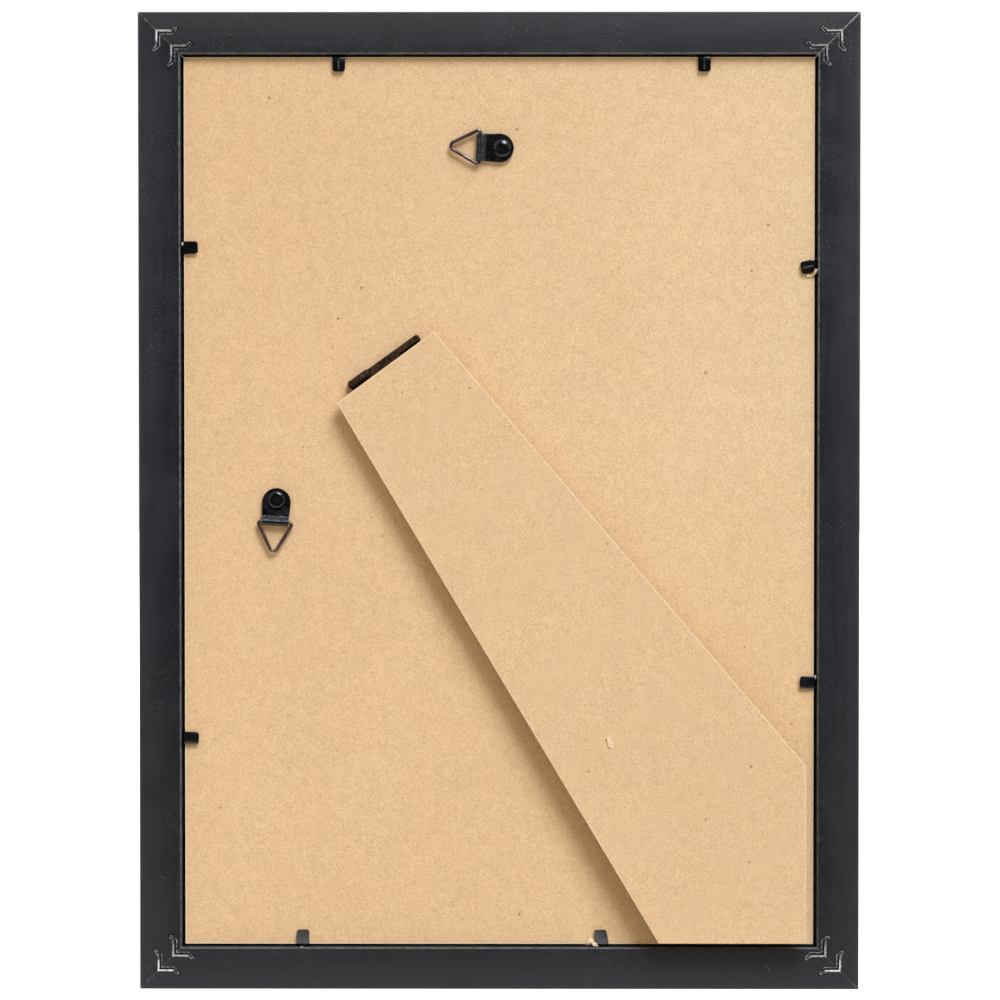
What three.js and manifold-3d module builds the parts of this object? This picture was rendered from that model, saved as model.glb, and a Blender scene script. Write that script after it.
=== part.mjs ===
// A4 certificate frame, as it comes apart on a bench: a moulding of four mitred rails with a pair of
// V-nails across each corner, glazing, a blank sheet, a back board held by flexible tabs, an easel strut
// on a small rolled hinge, and two riveted hangers with triangular rings. Sizes are in millimetres.
//
// The pieces are modelled with the frame lying on its face: x to the right, y up the page and z out of
// the back. The last group stands the frame up, so that +Z is up and the back faces -Y.

import * as THREE from "three";
import { mergeVertices } from "three/addons/utils/BufferGeometryUtils.js";
import Module from "manifold-3d";

const wasm = await Module();
wasm.setup();

// Clearances
const FIT = 0.3; // round a piece that sits in a cut pocket
const HAIR = 0.05; // between faces that rest on each other in a turned group
const MITRE_GAP = 0.1; // hairline between two rails at a corner

// Sheet, glazing and back board
const SHEET_W = 210;
const SHEET_H = 297;
const SHEET_T = 0.3;
const SHEET_PLAY_X = 1.4; // to the rebate, on each side
const SHEET_PLAY_Y = 0.9;
const GLAZING_T = 2;
const GLAZING_PLAY = 0.7;
const BOARD_T = 2.5;
const BOARD_PLAY_X = 0.9;
const BOARD_PLAY_Y = 0.7;

// Moulding
const RECESS = 2.6; // from the back of the moulding down to the board
const LAND_W = 14.2; // back of a rail, from its outer face to the rebate
const LIP_W = 5.5; // reach of the front lip over the glazing
const LIP_T = 6.6; // from the front plane back to the glazing
const SIGHT_EDGE_T = 1.5; // edge of the lip round the sight opening
const FACE_W = 12.4; // flat band on the front
const FACE_STEP = 0.7; // step from that band down to the bevel
const SHOULDER_R = 2.6; // rounded outer edge of the front
const ARRIS = 0.35; // broken outer edge of the back
const RIM_R = 1; // rounded inner edge of the back

// V-nails
const NAIL_SHARES = { outer: 0.437, inner: 0.788 }; // apex to the outer faces, as shares of the land
const NAIL_T = 0.45;
const NAIL_DEEP = 7;
const NAIL_SINK = 0.15; // driven below the back of the moulding
const NAIL_ARM = 5.1;
const NAIL_HOOK = 2; // flared tip of an arm
const NAIL_HOOK_ANGLE = 38;
const IMPRINT_W = 1.7; // shallow mark that the driver leaves inside the V
const IMPRINT_DEEP = 0.35;

// Flexible tabs: where each enters its rail, from the middle of that side, and how far it was driven askew
const TABS = [
  { name: "top_left", rail: "top", place: -53.6, slant: 0 },
  { name: "top_right", rail: "top", place: 68.5, slant: 1 },
  { name: "left_upper", rail: "left", place: 85, slant: 2 },
  { name: "left_lower", rail: "left", place: -79.3, slant: -1 },
  { name: "right_upper", rail: "right", place: 79.8, slant: 12 },
  { name: "right_lower", rail: "right", place: -60.7, slant: -2 },
  { name: "bottom_left", rail: "bottom", place: -65.9, slant: 0 },
  { name: "bottom_right", rail: "bottom", place: 34.8, slant: 14 },
];
const TAB_W = 4.2;
const TAB_TIP_W = 3.7;
const TAB_REACH = 5.6; // out of the rebate wall
const TAB_DRIVEN = 8.5; // into the rail
const TAB_T = 0.45;
const TAB_CROWN = 0.3; // arch across the width, which stiffens the strip
const TAB_TIP_R = 0.9;
const TAB_LIFT = 0.3; // over the board
const TAB_BEND = 0.9; // bend line, from the rebate wall
const TAB_HEEL = 0.3; // tongue behind the bend line
const TAB_BARB = 0.5; // depth of a barb on the driven point

// Easel strut and its hinge
const HINGE_X = -38.5; // middle of the barrel, from the middle of the frame
const HINGE_Y = 46.8;
const HINGE_ANGLE = 35.7;
const BARREL_L = 28;
const PIN_R = 0.5;
const PIN_PLAY = 0.2;
const LEAF_T = 0.6;
const LEAF_L = 14; // from the barrel's axis
const KNUCKLE_L = 7.8; // knuckle of the fixed leaf at each end of the barrel
const KNUCKLE_GAP = 0.15;
const PIN_HEAD_R = 0.95;
const PIN_HEAD_T = 0.4;
const TOOTH_W = 1.6;
const TOOTH_COVER = 0.6; // board left beyond a tooth
const TOOTH_ROW = 8.5; // from the barrel's axis
const TOOTH_COUNT = 4;
const STRUT_T = 3;
const STRUT_TOP_W = 40;
const STRUT_TAPER = 4.9; // each side
const STRUT_SHIFT = -0.4; // middle of the top edge, from the middle of the barrel
const STRUT_SETBACK = 1.5; // top edge, from the barrel's axis
const STRUT_TOP_SKEW = 0.7;
const STRUT_OPEN = 1; // as it stands at rest, from lying flat
const FOOT_GAP_X = 3.8; // foot corner to the rebate wall
const FOOT_GAP_Y = 2.2;

// Hangers
const TOP_HANGER_DROP = 31.1; // rivet to the rebate's top wall
const TOP_HANGER_SHIFT = 1; // rivet to the right of the middle
const TOP_HANGER_TURN = 177.5; // way the ring points, anticlockwise from the right
const SIDE_HANGER_INSET = 31.8; // rivet to the rebate's left wall
const SIDE_HANGER_SHIFT = 0.7; // rivet above the middle
const SIDE_HANGER_TURN = -93.6;
const PLATE_T = 0.6;
const PLATE_LIFT = 0.15; // over the board
const PLATE_SLIT = 0.1; // between the two layers of the folded strip
const PLATE_W = 9.6;
const FOLD_SIDE_PLAY = 0.3; // to the bends of the wire, on each side
const PLATE_END = 3.9; // round end, past the rivet
const FOLD_REACH = 7.5; // rivet to the ring's wire in the fold
const FOLD_PLAY = 0.2; // round the wire
const FOLD_SLOPE = 1.9; // run of the upper layer from the fold down to the flat
const WIRE_R = 0.62;
const WIRE_SPLIT = 0.5; // butt joint of the wire, inside the fold
const RING_BASE = 12; // between the sharp corners of the wire's centre line
const RING_H = 11.2; // from the base to the sharp apex
const RING_BASE_R = 0.75;
const RING_APEX_R = 1.4;
const RIVET_R = 1.5;
const RIVET_PLAY = 0.15;
const RIVET_HEAD_R = 2.9;
const RIVET_HEAD_H = 1.1;
const RIVET_DIMPLE_R = 1.4;
const RIVET_DIMPLE_DEEP = 0.45;
const RIVET_TAIL_R = 2.4;
const RIVET_TAIL_H = 0.9;

// Fineness of the curves
const ROUND_SIDES = 24;
const ARC_STEPS = 6;
const WIRE_SIDES = 8;
const WIRE_STEPS = 72;

// Sizes and levels that follow from the ones above
const REBATE_W = SHEET_W + 2 * SHEET_PLAY_X;
const REBATE_H = SHEET_H + 2 * SHEET_PLAY_Y;
const OUTER_W = REBATE_W + 2 * LAND_W;
const OUTER_H = REBATE_H + 2 * LAND_W;
const MIDDLE_Y = OUTER_H / 2;
const DEPTH = LIP_T + GLAZING_T + SHEET_T + BOARD_T + RECESS;
const FRONT_Z = -DEPTH / 2;
const BACK_Z = DEPTH / 2;
const SEAT_Z = FRONT_Z + LIP_T;
const SHEET_Z = SEAT_Z + GLAZING_T;
const BOARD_Z = SHEET_Z + SHEET_T;
const BOARD_BACK_Z = BOARD_Z + BOARD_T;
const BARREL_R = PIN_R + PIN_PLAY + LEAF_T;
const TOOTH_L = BOARD_T - TOOTH_COVER;
const BORE_R = WIRE_R + FOLD_PLAY;
const WIRE_Z = PLATE_LIFT + PLATE_T + BORE_R;
const PLATE_TOP = PLATE_LIFT + 2 * PLATE_T + PLATE_SLIT;
const RING_BEND = Math.PI - Math.atan2(RING_H, RING_BASE / 2);
const RING_STRAIGHT = RING_BASE / 2 - RING_BASE_R * Math.tan(RING_BEND / 2); // half of the base
const FOLD_W = 2 * (RING_STRAIGHT - FOLD_SIDE_PLAY);

const BLACK_PLASTIC = { color: 0x2f3034, roughness: 0.55, metalness: 0 };
const STEEL = { color: 0xb9bbbd, roughness: 0.35, metalness: 1 };
const CLEAR = { color: 0xf2f7f7, roughness: 0.05, metalness: 0 };
const PAPER = { color: 0xf3efe4, roughness: 0.9, metalness: 0 };
const FIBREBOARD = { color: 0xe6c398, roughness: 0.85, metalness: 0 };
const BLACK_STEEL = { color: 0x1a1a1b, roughness: 0.35, metalness: 0.3 };
const BRONZE_WIRE = { color: 0x4a3c35, roughness: 0.35, metalness: 0.9 };

const lying = new THREE.Group();

const radians = THREE.MathUtils.degToRad;
const at = (x, y) => new THREE.Vector2(x, y);
const polar = (r, angle) => at(r * Math.cos(angle), r * Math.sin(angle));

// Adds a named piece to a group.
function add(name, geometry, look, parent = lying) {
  const mesh = new THREE.Mesh(geometry, new THREE.MeshStandardMaterial(look));
  mesh.name = name;
  parent.add(mesh);
}

// A group moved to a point and turned about z.
function placed(x, y, z, turn) {
  const group = new THREE.Group();
  group.position.set(x, y, z);
  group.rotation.z = radians(turn);
  lying.add(group);
  return group;
}

// A closed geometry as a solid that can be joined and cut.
function solid(geometry) {
  const bare = geometry.clone();
  bare.deleteAttribute("normal");
  bare.deleteAttribute("uv");
  const merged = mergeVertices(bare, 1e-4);
  return new wasm.Manifold(
    new wasm.Mesh({
      numProp: 3,
      vertProperties: new Float32Array(merged.attributes.position.array),
      triVerts: new Uint32Array(merged.index.array),
    }),
  );
}

// A solid back as a geometry.
function geometryOf(made) {
  const { vertProperties, triVerts } = made.getMesh();
  const geometry = new THREE.BufferGeometry();
  geometry.setAttribute("position", new THREE.BufferAttribute(vertProperties, 3));
  geometry.setIndex(new THREE.BufferAttribute(triVerts, 1));
  geometry.computeVertexNormals();
  return geometry;
}

// A flat outline given a thickness, from z up.
function slab(shape, z, thickness) {
  const options = { depth: thickness, bevelEnabled: false, curveSegments: ARC_STEPS };
  return new THREE.ExtrudeGeometry(shape, options).translate(0, 0, z);
}

// A section in x and z, run along y from `from` to `to`.
function run(shape, from, to) {
  return slab(shape, 0, to - from).rotateX(Math.PI / 2).translate(0, to, 0);
}

// A section in y and z, run along x from `from` to `to`.
function runAcross(shape, from, to) {
  return slab(shape, 0, to - from).rotateY(Math.PI / 2).rotateX(Math.PI / 2).translate(from, 0, 0);
}

// A block with its lowest and highest corners given.
function block(low, high) {
  const size = high.map((value, i) => value - low[i]);
  const middle = high.map((value, i) => (value + low[i]) / 2);
  return new THREE.BoxGeometry(...size).translate(...middle);
}

// An upright round bar from z up.
function bar(radius, z, height) {
  const geometry = new THREE.CylinderGeometry(radius, radius, height, ROUND_SIDES);
  return geometry.rotateX(Math.PI / 2).translate(0, 0, z + height / 2);
}

// A profile of radius and height turned about z.
function turned(points) {
  return new THREE.LatheGeometry(points, ROUND_SIDES).rotateX(Math.PI / 2);
}

// The outline of a strip along a polyline, reaching `left` and `right` of it.
function strip(points, left, right) {
  const last = points.length - 1;
  const way = (i) => points[i + 1].clone().sub(points[i]).normalize();
  const edge = (offset) =>
    points.map((point, i) => {
      const into = way(Math.max(i - 1, 0));
      const out = way(Math.min(i, last - 1));
      const along = into.clone().add(out).normalize();
      const stretch = offset / along.dot(into);
      return at(point.x - along.y * stretch, point.y + along.x * stretch);
    });
  return new THREE.Shape([...edge(left), ...edge(-right).reverse()]);
}

// Points along an arc, angles in degrees.
function arc(centre, radius, from, to, steps) {
  return Array.from({ length: steps + 1 }, (_, i) =>
    polar(radius, radians(from + ((to - from) * i) / steps)).add(centre),
  );
}

// Carries a path to a corner and round it, on the way to the next point.
function roundCorner(path, before, corner, after, radius) {
  const into = corner.clone().sub(before).normalize();
  const out = after.clone().sub(corner).normalize();
  const turn = Math.atan2(into.cross(out), into.dot(out));
  const side = Math.sign(turn);
  const start = corner.clone().addScaledVector(into, -radius * Math.tan(Math.abs(turn) / 2));
  const centre = at(start.x - into.y * side * radius, start.y + into.x * side * radius);
  const first = Math.atan2(start.y - centre.y, start.x - centre.x);
  path.lineTo(start.x, start.y);
  path.absarc(centre.x, centre.y, radius, first, first + turn, side < 0);
}

// Where two lines cross, each given by a point and a direction.
function meet(p, d, q, e) {
  const reach = q.clone().sub(p).cross(e) / d.cross(e);
  return p.clone().addScaledVector(d, reach);
}

// Moulding: the section of a rail, u inwards from the outer face and z from the front to the back
function railSection() {
  const inner = LAND_W + LIP_W;
  const shape = new THREE.Shape();
  shape.moveTo(ARRIS, BACK_Z);
  shape.lineTo(0, BACK_Z - ARRIS);
  shape.lineTo(0, FRONT_Z + SHOULDER_R);
  shape.absarc(SHOULDER_R, FRONT_Z + SHOULDER_R, SHOULDER_R, Math.PI, 1.5 * Math.PI, false);
  shape.lineTo(FACE_W, FRONT_Z);
  shape.lineTo(FACE_W, FRONT_Z + FACE_STEP);
  shape.lineTo(inner, SEAT_Z - SIGHT_EDGE_T);
  shape.lineTo(inner, SEAT_Z);
  shape.lineTo(LAND_W, SEAT_Z);
  shape.lineTo(LAND_W, BACK_Z - RIM_R);
  shape.absarc(LAND_W - RIM_R, BACK_Z - RIM_R, RIM_R, 0, Math.PI / 2, false);
  return shape;
}

// One rail along x with its outer face on y = 0. Each end is cut back by as much as a point lies inwards,
// which is the mitre.
function mitredRail(length) {
  const geometry = slab(railSection(), 0, 1);
  const position = geometry.attributes.position;
  for (let i = 0; i < position.count; i += 1) {
    const u = position.getX(i);
    const z = position.getY(i);
    const end = position.getZ(i) < 0.5 ? -1 : 1;
    position.setXYZ(i, end * (length / 2 - u - MITRE_GAP / 2), u, z);
  }
  return geometry;
}

// One arm of a V-nail from its apex, seen from the frame's corner: along the rail, then flared outwards.
// `before` and `after` lengthen it for the slot that it was driven into.
function nailArm(inset, before, after) {
  const hook = polar(NAIL_HOOK + after, radians(-NAIL_HOOK_ANGLE));
  const elbow = at(inset + NAIL_ARM, inset);
  return [at(inset - before, inset), elbow, elbow.clone().add(hook)];
}

function nailSlots(length) {
  const cuts = [];
  for (const share of Object.values(NAIL_SHARES)) {
    const arm = nailArm(share * LAND_W, NAIL_T + FIT, FIT);
    for (const end of [-1, 1]) {
      const path = arm.map((p) => at(end * (length / 2 - p.x), p.y));
      const wall = NAIL_T / 2 + FIT;
      const inner = IMPRINT_W - wall;
      const slotDepth = NAIL_SINK + NAIL_DEEP + FIT;
      cuts.push(slab(strip(path, wall, wall), BACK_Z - slotDepth, slotDepth + FIT));
      const [left, right] = end < 0 ? [inner, wall] : [wall, inner];
      cuts.push(slab(strip(path, left, right), BACK_Z - IMPRINT_DEEP, IMPRINT_DEEP + FIT));
    }
  }
  return cuts;
}

// Where a tab stands on its rail: x along the rail, y up from the rebate wall
function tabMatrix(place, slant) {
  const turn = new THREE.Matrix4().makeRotationZ(radians(slant));
  return turn.setPosition(place, LAND_W, BOARD_BACK_Z + TAB_LIFT);
}

function tabSlot(place, slant) {
  const wide = TAB_W / 2 + FIT;
  const low = [-wide, -TAB_DRIVEN - FIT, -FIT];
  const high = [wide, FIT, TAB_T + TAB_CROWN + FIT];
  return block(low, high).applyMatrix4(tabMatrix(place, slant));
}

// Along a rail's own x, a place measured to the right or up the page runs either way
const RAILS = {
  bottom: { length: OUTER_W, turn: 0, x: 0, y: 0, way: 1 },
  right: { length: OUTER_H, turn: 90, x: OUTER_W / 2, y: MIDDLE_Y, way: 1 },
  top: { length: OUTER_W, turn: 180, x: 0, y: OUTER_H, way: -1 },
  left: { length: OUTER_H, turn: 270, x: -OUTER_W / 2, y: MIDDLE_Y, way: -1 },
};

for (const [side, rail] of Object.entries(RAILS)) {
  let made = solid(mitredRail(rail.length));
  const tabs = TABS.filter((tab) => tab.rail === side);
  const slots = tabs.map((tab) => tabSlot(rail.way * tab.place, tab.slant));
  for (const cut of [...nailSlots(rail.length), ...slots]) {
    made = made.subtract(solid(cut));
  }
  rail.group = placed(rail.x, rail.y, 0, rail.turn);
  add(`rail_${side}`, geometryOf(made), BLACK_PLASTIC, rail.group);
}

// V-nails: one bent strip of steel across the mitre, twice at each corner
const CORNERS = {
  bottom_left: [-OUTER_W / 2, 0, 0],
  bottom_right: [OUTER_W / 2, 0, 90],
  top_right: [OUTER_W / 2, OUTER_H, 180],
  top_left: [-OUTER_W / 2, OUTER_H, 270],
};

for (const [corner, [x, y, turn]] of Object.entries(CORNERS)) {
  const group = placed(x, y, 0, turn);
  for (const [which, share] of Object.entries(NAIL_SHARES)) {
    const arm = nailArm(share * LAND_W, 0, 0);
    const otherArm = arm.slice(1).map((p) => at(p.y, p.x));
    const path = [...arm.reverse(), ...otherArm];
    const shape = strip(path, NAIL_T / 2, NAIL_T / 2);
    const nail = slab(shape, BACK_Z - NAIL_SINK - NAIL_DEEP, NAIL_DEEP);
    add(`v_nail_${corner}_${which}`, nail, STEEL, group);
  }
}

// Flexible tabs: an arched strip, split at its bend line into the barbed point in the rail and the tongue
function archSection() {
  const radius = (TAB_W ** 2 / 4 + TAB_CROWN ** 2) / (2 * TAB_CROWN);
  const half = Math.asin(TAB_W / 2 / radius);
  const centre = TAB_CROWN - radius;
  const shape = new THREE.Shape();
  shape.absarc(0, centre, radius, Math.PI / 2 - half, Math.PI / 2 + half, false);
  shape.lineTo(-TAB_W / 2, TAB_T);
  shape.absarc(0, centre + TAB_T, radius, Math.PI / 2 + half, Math.PI / 2 - half, true);
  return shape;
}

function tongueOutline() {
  const heel = TAB_BEND - TAB_HEEL;
  const corners = [
    at(TAB_W / 2, heel),
    at(TAB_TIP_W / 2, TAB_REACH),
    at(-TAB_TIP_W / 2, TAB_REACH),
    at(-TAB_W / 2, heel),
  ];
  const shape = new THREE.Shape();
  shape.moveTo(corners[0].x, corners[0].y);
  roundCorner(shape, corners[0], corners[1], corners[2], TAB_TIP_R);
  roundCorner(shape, corners[1], corners[2], corners[3], TAB_TIP_R);
  shape.lineTo(corners[3].x, corners[3].y);
  return shape;
}

function pointOutline() {
  const half = TAB_W / 2;
  const third = TAB_DRIVEN / 3;
  const right = [
    at(half, 0),
    at(half, -third),
    at(half - TAB_BARB, -third),
    at(half, -2 * third),
    at(half - TAB_BARB, -2 * third),
  ];
  const left = right.map((p) => at(-p.x, p.y)).reverse();
  return new THREE.Shape([...right, at(0, -TAB_DRIVEN), ...left]);
}

function cutFromStrip(outline) {
  const length = run(archSection(), -TAB_DRIVEN - FIT, TAB_REACH + FIT);
  const cutter = slab(outline, -FIT, TAB_T + TAB_CROWN + 2 * FIT);
  return geometryOf(solid(length).intersect(solid(cutter)));
}

for (const tab of TABS) {
  const rail = RAILS[tab.rail];
  const group = new THREE.Group();
  group.applyMatrix4(tabMatrix(rail.way * tab.place, tab.slant));
  rail.group.add(group);
  add(`tab_point_${tab.name}`, cutFromStrip(pointOutline()), BLACK_STEEL, group);
  add(`tab_tongue_${tab.name}`, cutFromStrip(tongueOutline()), BLACK_STEEL, group);
}

// Glazing and sheet
function sheetOf(width, height, z, thickness) {
  const low = [-width / 2, MIDDLE_Y - height / 2, z];
  const high = [width / 2, MIDDLE_Y + height / 2, z + thickness];
  return block(low, high);
}

const GLAZING_W = REBATE_W - 2 * GLAZING_PLAY;
const GLAZING_H = REBATE_H - 2 * GLAZING_PLAY;
add("glazing", sheetOf(GLAZING_W, GLAZING_H, SEAT_Z, GLAZING_T), CLEAR);
add("certificate_sheet", sheetOf(SHEET_W, SHEET_H, SHEET_Z, SHEET_T), PAPER);

// Hinge: x along the barrel, strut towards -y, z = 0 on the pin, so the board lies one barrel radius below
const HINGE_Z = BOARD_BACK_Z + BARREL_R;
const hinge = placed(HINGE_X, MIDDLE_Y + HINGE_Y, HINGE_Z, HINGE_ANGLE);
const swung = new THREE.Group();
swung.rotation.x = -radians(STRUT_OPEN);
hinge.add(swung);

// Section in y and z of a leaf that is rolled round the pin: flat under the barrel for the fixed leaf
// (side -1), or over it for the strut's leaf (side 1).
function rolledSection(side) {
  const middle = BARREL_R - LEAF_T / 2;
  const almostRound = 215;
  const roll = arc(at(0, 0), middle, side * 90, side * (90 - almostRound), 3 * ARC_STEPS);
  const path = [at(-BARREL_R - 2 * KNUCKLE_GAP, side * middle), ...roll];
  return strip(path, LEAF_T / 2, LEAF_T / 2);
}

// Teeth stamped out of each leaf, in a row along the barrel
const TOOTH_PLACES = Array.from(
  { length: TOOTH_COUNT },
  (_, i) => (BARREL_L / TOOTH_COUNT) * (i + 0.5) - BARREL_L / 2,
);

function tooth(side, place) {
  const root = side * (BARREL_R - LEAF_T / 2);
  const tip = side * (BARREL_R + TOOTH_L);
  const half = TOOTH_W / 2;
  const shape = new THREE.Shape([at(place - half, root), at(place + half, root), at(place, tip)]);
  return run(shape, -TOOTH_ROW - LEAF_T / 2, -TOOTH_ROW + LEAF_T / 2);
}

// The pocket that a tooth was pressed into
function toothPocket(side, place) {
  const wide = TOOTH_W / 2 + FIT;
  const thick = LEAF_T / 2 + FIT;
  const mouth = side * (BARREL_R - FIT);
  const floor = side * (BARREL_R + TOOTH_L + FIT);
  const low = [place - wide, -TOOTH_ROW - thick, Math.min(mouth, floor)];
  const high = [place + wide, -TOOTH_ROW + thick, Math.max(mouth, floor)];
  return block(low, high);
}

function leaf(side, knuckles) {
  const low = Math.min(side * BARREL_R, side * (BARREL_R - LEAF_T));
  const flatStart = -BARREL_R - KNUCKLE_GAP;
  const flat = block([-BARREL_L / 2, -LEAF_L, low], [BARREL_L / 2, flatStart, low + LEAF_T]);
  let made = solid(flat);
  for (const [from, to] of knuckles) {
    made = made.add(solid(runAcross(rolledSection(side), from, to)));
  }
  for (const place of TOOTH_PLACES) {
    const near = -TOOTH_ROW + LEAF_T / 2;
    const window = block(
      [place - TOOTH_W / 2, near, low - FIT],
      [place + TOOTH_W / 2, near + TOOTH_L, low + LEAF_T + FIT],
    );
    made = made.subtract(solid(window));
  }
  for (const place of TOOTH_PLACES) {
    made = made.add(solid(tooth(side, place)));
  }
  return geometryOf(made);
}

const END = BARREL_L / 2;
const INNER = END - KNUCKLE_L;
const fixedKnuckles = [
  [-END, -INNER],
  [INNER, END],
];
const strutKnuckles = [[-INNER + KNUCKLE_GAP, INNER - KNUCKLE_GAP]];
add("hinge_board_leaf", leaf(-1, fixedKnuckles), BLACK_STEEL, hinge);
add("hinge_strut_leaf", leaf(1, strutKnuckles), BLACK_STEEL, swung);

const pinEnd = END + HAIR;
const pinProfile = [
  at(0, -pinEnd - PIN_HEAD_T),
  at(PIN_HEAD_R, -pinEnd - PIN_HEAD_T),
  at(PIN_HEAD_R, -pinEnd),
  at(PIN_R, -pinEnd),
  at(PIN_R, pinEnd),
  at(PIN_HEAD_R, pinEnd),
  at(PIN_HEAD_R, pinEnd + PIN_HEAD_T),
  at(0, pinEnd + PIN_HEAD_T),
];
add("hinge_pin", turned(pinProfile).rotateY(Math.PI / 2), BLACK_STEEL, hinge);

// Strut: tapered sides, a foot cut level for the upright page and another for the page on its side
function strutOutline() {
  const angle = radians(HINGE_ANGLE);
  const footX = REBATE_W / 2 - FOOT_GAP_X - HINGE_X;
  const footY = -REBATE_H / 2 + FOOT_GAP_Y - HINGE_Y;
  const foot = at(footX, footY).rotateAround(at(0, 0), -angle);
  const pageRight = polar(1, -angle);
  const pageUp = at(-pageRight.y, pageRight.x);
  const half = STRUT_TOP_W / 2;
  const rise = half * Math.tan(radians(STRUT_TOP_SKEW));
  const topLeft = at(STRUT_SHIFT - half, -STRUT_SETBACK - rise);
  const topRight = at(STRUT_SHIFT + half, -STRUT_SETBACK + rise);
  const leftWay = polar(1, radians(-90 - STRUT_TAPER));
  const rightWay = polar(1, radians(-90 + STRUT_TAPER));
  const sideCorner = meet(topRight, rightWay, foot, pageUp);
  const farCorner = meet(topLeft, leftWay, foot, pageRight);
  return new THREE.Shape([topLeft, farCorner, foot, sideCorner, topRight]);
}

let strut = solid(slab(strutOutline(), BARREL_R + HAIR, STRUT_T));
for (const place of TOOTH_PLACES) {
  strut = strut.subtract(solid(toothPocket(1, place)));
}
add("easel_strut", geometryOf(strut), FIBREBOARD, swung);

// Hangers: x from the rivet towards the ring, z up from the board
const HANGERS = {
  top: { x: TOP_HANGER_SHIFT, y: MIDDLE_Y + REBATE_H / 2 - TOP_HANGER_DROP, turn: TOP_HANGER_TURN },
  side: { x: -REBATE_W / 2 + SIDE_HANGER_INSET, y: MIDDLE_Y + SIDE_HANGER_SHIFT, turn: SIDE_HANGER_TURN },
};

// A strip folded round the wire: the lower layer, the loop and the upper layer, seen from the side
function foldedSection() {
  const lower = PLATE_LIFT + PLATE_T / 2;
  const upper = lower + PLATE_T + PLATE_SLIT;
  const loop = arc(at(FOLD_REACH, WIRE_Z), BORE_R + PLATE_T / 2, -90, 100, 2 * ARC_STEPS);
  const flatEnd = at(FOLD_REACH - BORE_R - FOLD_SLOPE, upper);
  const path = [at(-PLATE_END, lower), ...loop, flatEnd, at(-PLATE_END, upper)];
  return strip(path, PLATE_T / 2, PLATE_T / 2);
}

function plateOutline() {
  const round = PLATE_W / 2;
  const tangent = -PLATE_END + round;
  const tip = FOLD_REACH + BORE_R + PLATE_T + FIT;
  const shape = new THREE.Shape();
  shape.moveTo(tip, -FOLD_W / 2);
  shape.lineTo(tip, FOLD_W / 2);
  shape.lineTo(tangent, round);
  shape.absarc(tangent, 0, round, Math.PI / 2, 1.5 * Math.PI, false);
  return shape;
}

function hangerPlate() {
  const folded = run(foldedSection(), -PLATE_W / 2, PLATE_W / 2);
  const cutter = slab(plateOutline(), 0, WIRE_Z + BORE_R + PLATE_T + FIT);
  const hole = bar(RIVET_R + RIVET_PLAY, 0, PLATE_TOP + FIT);
  return geometryOf(solid(folded).intersect(solid(cutter)).subtract(solid(hole)));
}

// The bent wire as a curve in the plane of the ring, from one side of its butt joint to the other
class RingWire extends THREE.Curve {
  constructor() {
    super();
    const half = RING_BASE / 2;
    const start = at(0, WIRE_SPLIT / 2);
    const finish = at(0, -WIRE_SPLIT / 2);
    const upper = at(0, half);
    const apex = at(RING_H, 0);
    const lower = at(0, -half);
    this.route = new THREE.Path();
    this.route.moveTo(start.x, start.y);
    roundCorner(this.route, start, upper, apex, RING_BASE_R);
    roundCorner(this.route, upper, apex, lower, RING_APEX_R);
    roundCorner(this.route, apex, lower, finish, RING_BASE_R);
    this.route.lineTo(finish.x, finish.y);
  }

  getPoint(t, target = new THREE.Vector3()) {
    const { x, y } = this.route.getPointAt(t);
    return target.set(x, y, 0);
  }
}

function hangerRing() {
  const section = new THREE.Shape(arc(at(0, 0), WIRE_R, 0, 360, WIRE_SIDES).slice(1));
  const options = { steps: WIRE_STEPS, extrudePath: new RingWire(), bevelEnabled: false };
  return new THREE.ExtrudeGeometry(section, options).translate(FOLD_REACH, 0, WIRE_Z);
}

// The rivet: a tail spread in the board's face, a shank, and a low head with a dimple
function rivet() {
  const under = PLATE_TOP + RIVET_PLAY;
  const top = under + RIVET_HEAD_H;
  const tail = -BOARD_T + FIT / 2;
  const crown = (RIVET_HEAD_R + RIVET_DIMPLE_R) / 2;
  return turned([
    at(0, tail),
    at(RIVET_TAIL_R, tail),
    at(RIVET_R, tail + RIVET_TAIL_H),
    at(RIVET_R, under),
    at(RIVET_HEAD_R, under),
    at(RIVET_HEAD_R, under + RIVET_HEAD_H / 3),
    at((RIVET_HEAD_R + crown) / 2, top - RIVET_HEAD_H / 6),
    at(crown, top),
    at(RIVET_DIMPLE_R, top - RIVET_DIMPLE_DEEP / 2),
    at(RIVET_DIMPLE_R / 2, top - RIVET_DIMPLE_DEEP),
    at(0, top - RIVET_DIMPLE_DEEP),
  ]);
}

function rivetHole() {
  const spread = RIVET_TAIL_R + FIT;
  const shank = RIVET_R + FIT;
  return turned([
    at(0, -BOARD_T - FIT),
    at(spread, -BOARD_T - FIT),
    at(spread, -BOARD_T + FIT),
    at(shank, -BOARD_T + FIT + RIVET_TAIL_H),
    at(shank, FIT),
    at(0, FIT),
  ]);
}

for (const [name, hanger] of Object.entries(HANGERS)) {
  hanger.group = placed(hanger.x, hanger.y, BOARD_BACK_Z, hanger.turn);
  add(`${name}_hanger_plate`, hangerPlate(), BLACK_STEEL, hanger.group);
  add(`${name}_hanger_ring`, hangerRing(), BRONZE_WIRE, hanger.group);
  add(`${name}_hanger_rivet`, rivet(), BLACK_STEEL, hanger.group);
}

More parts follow.
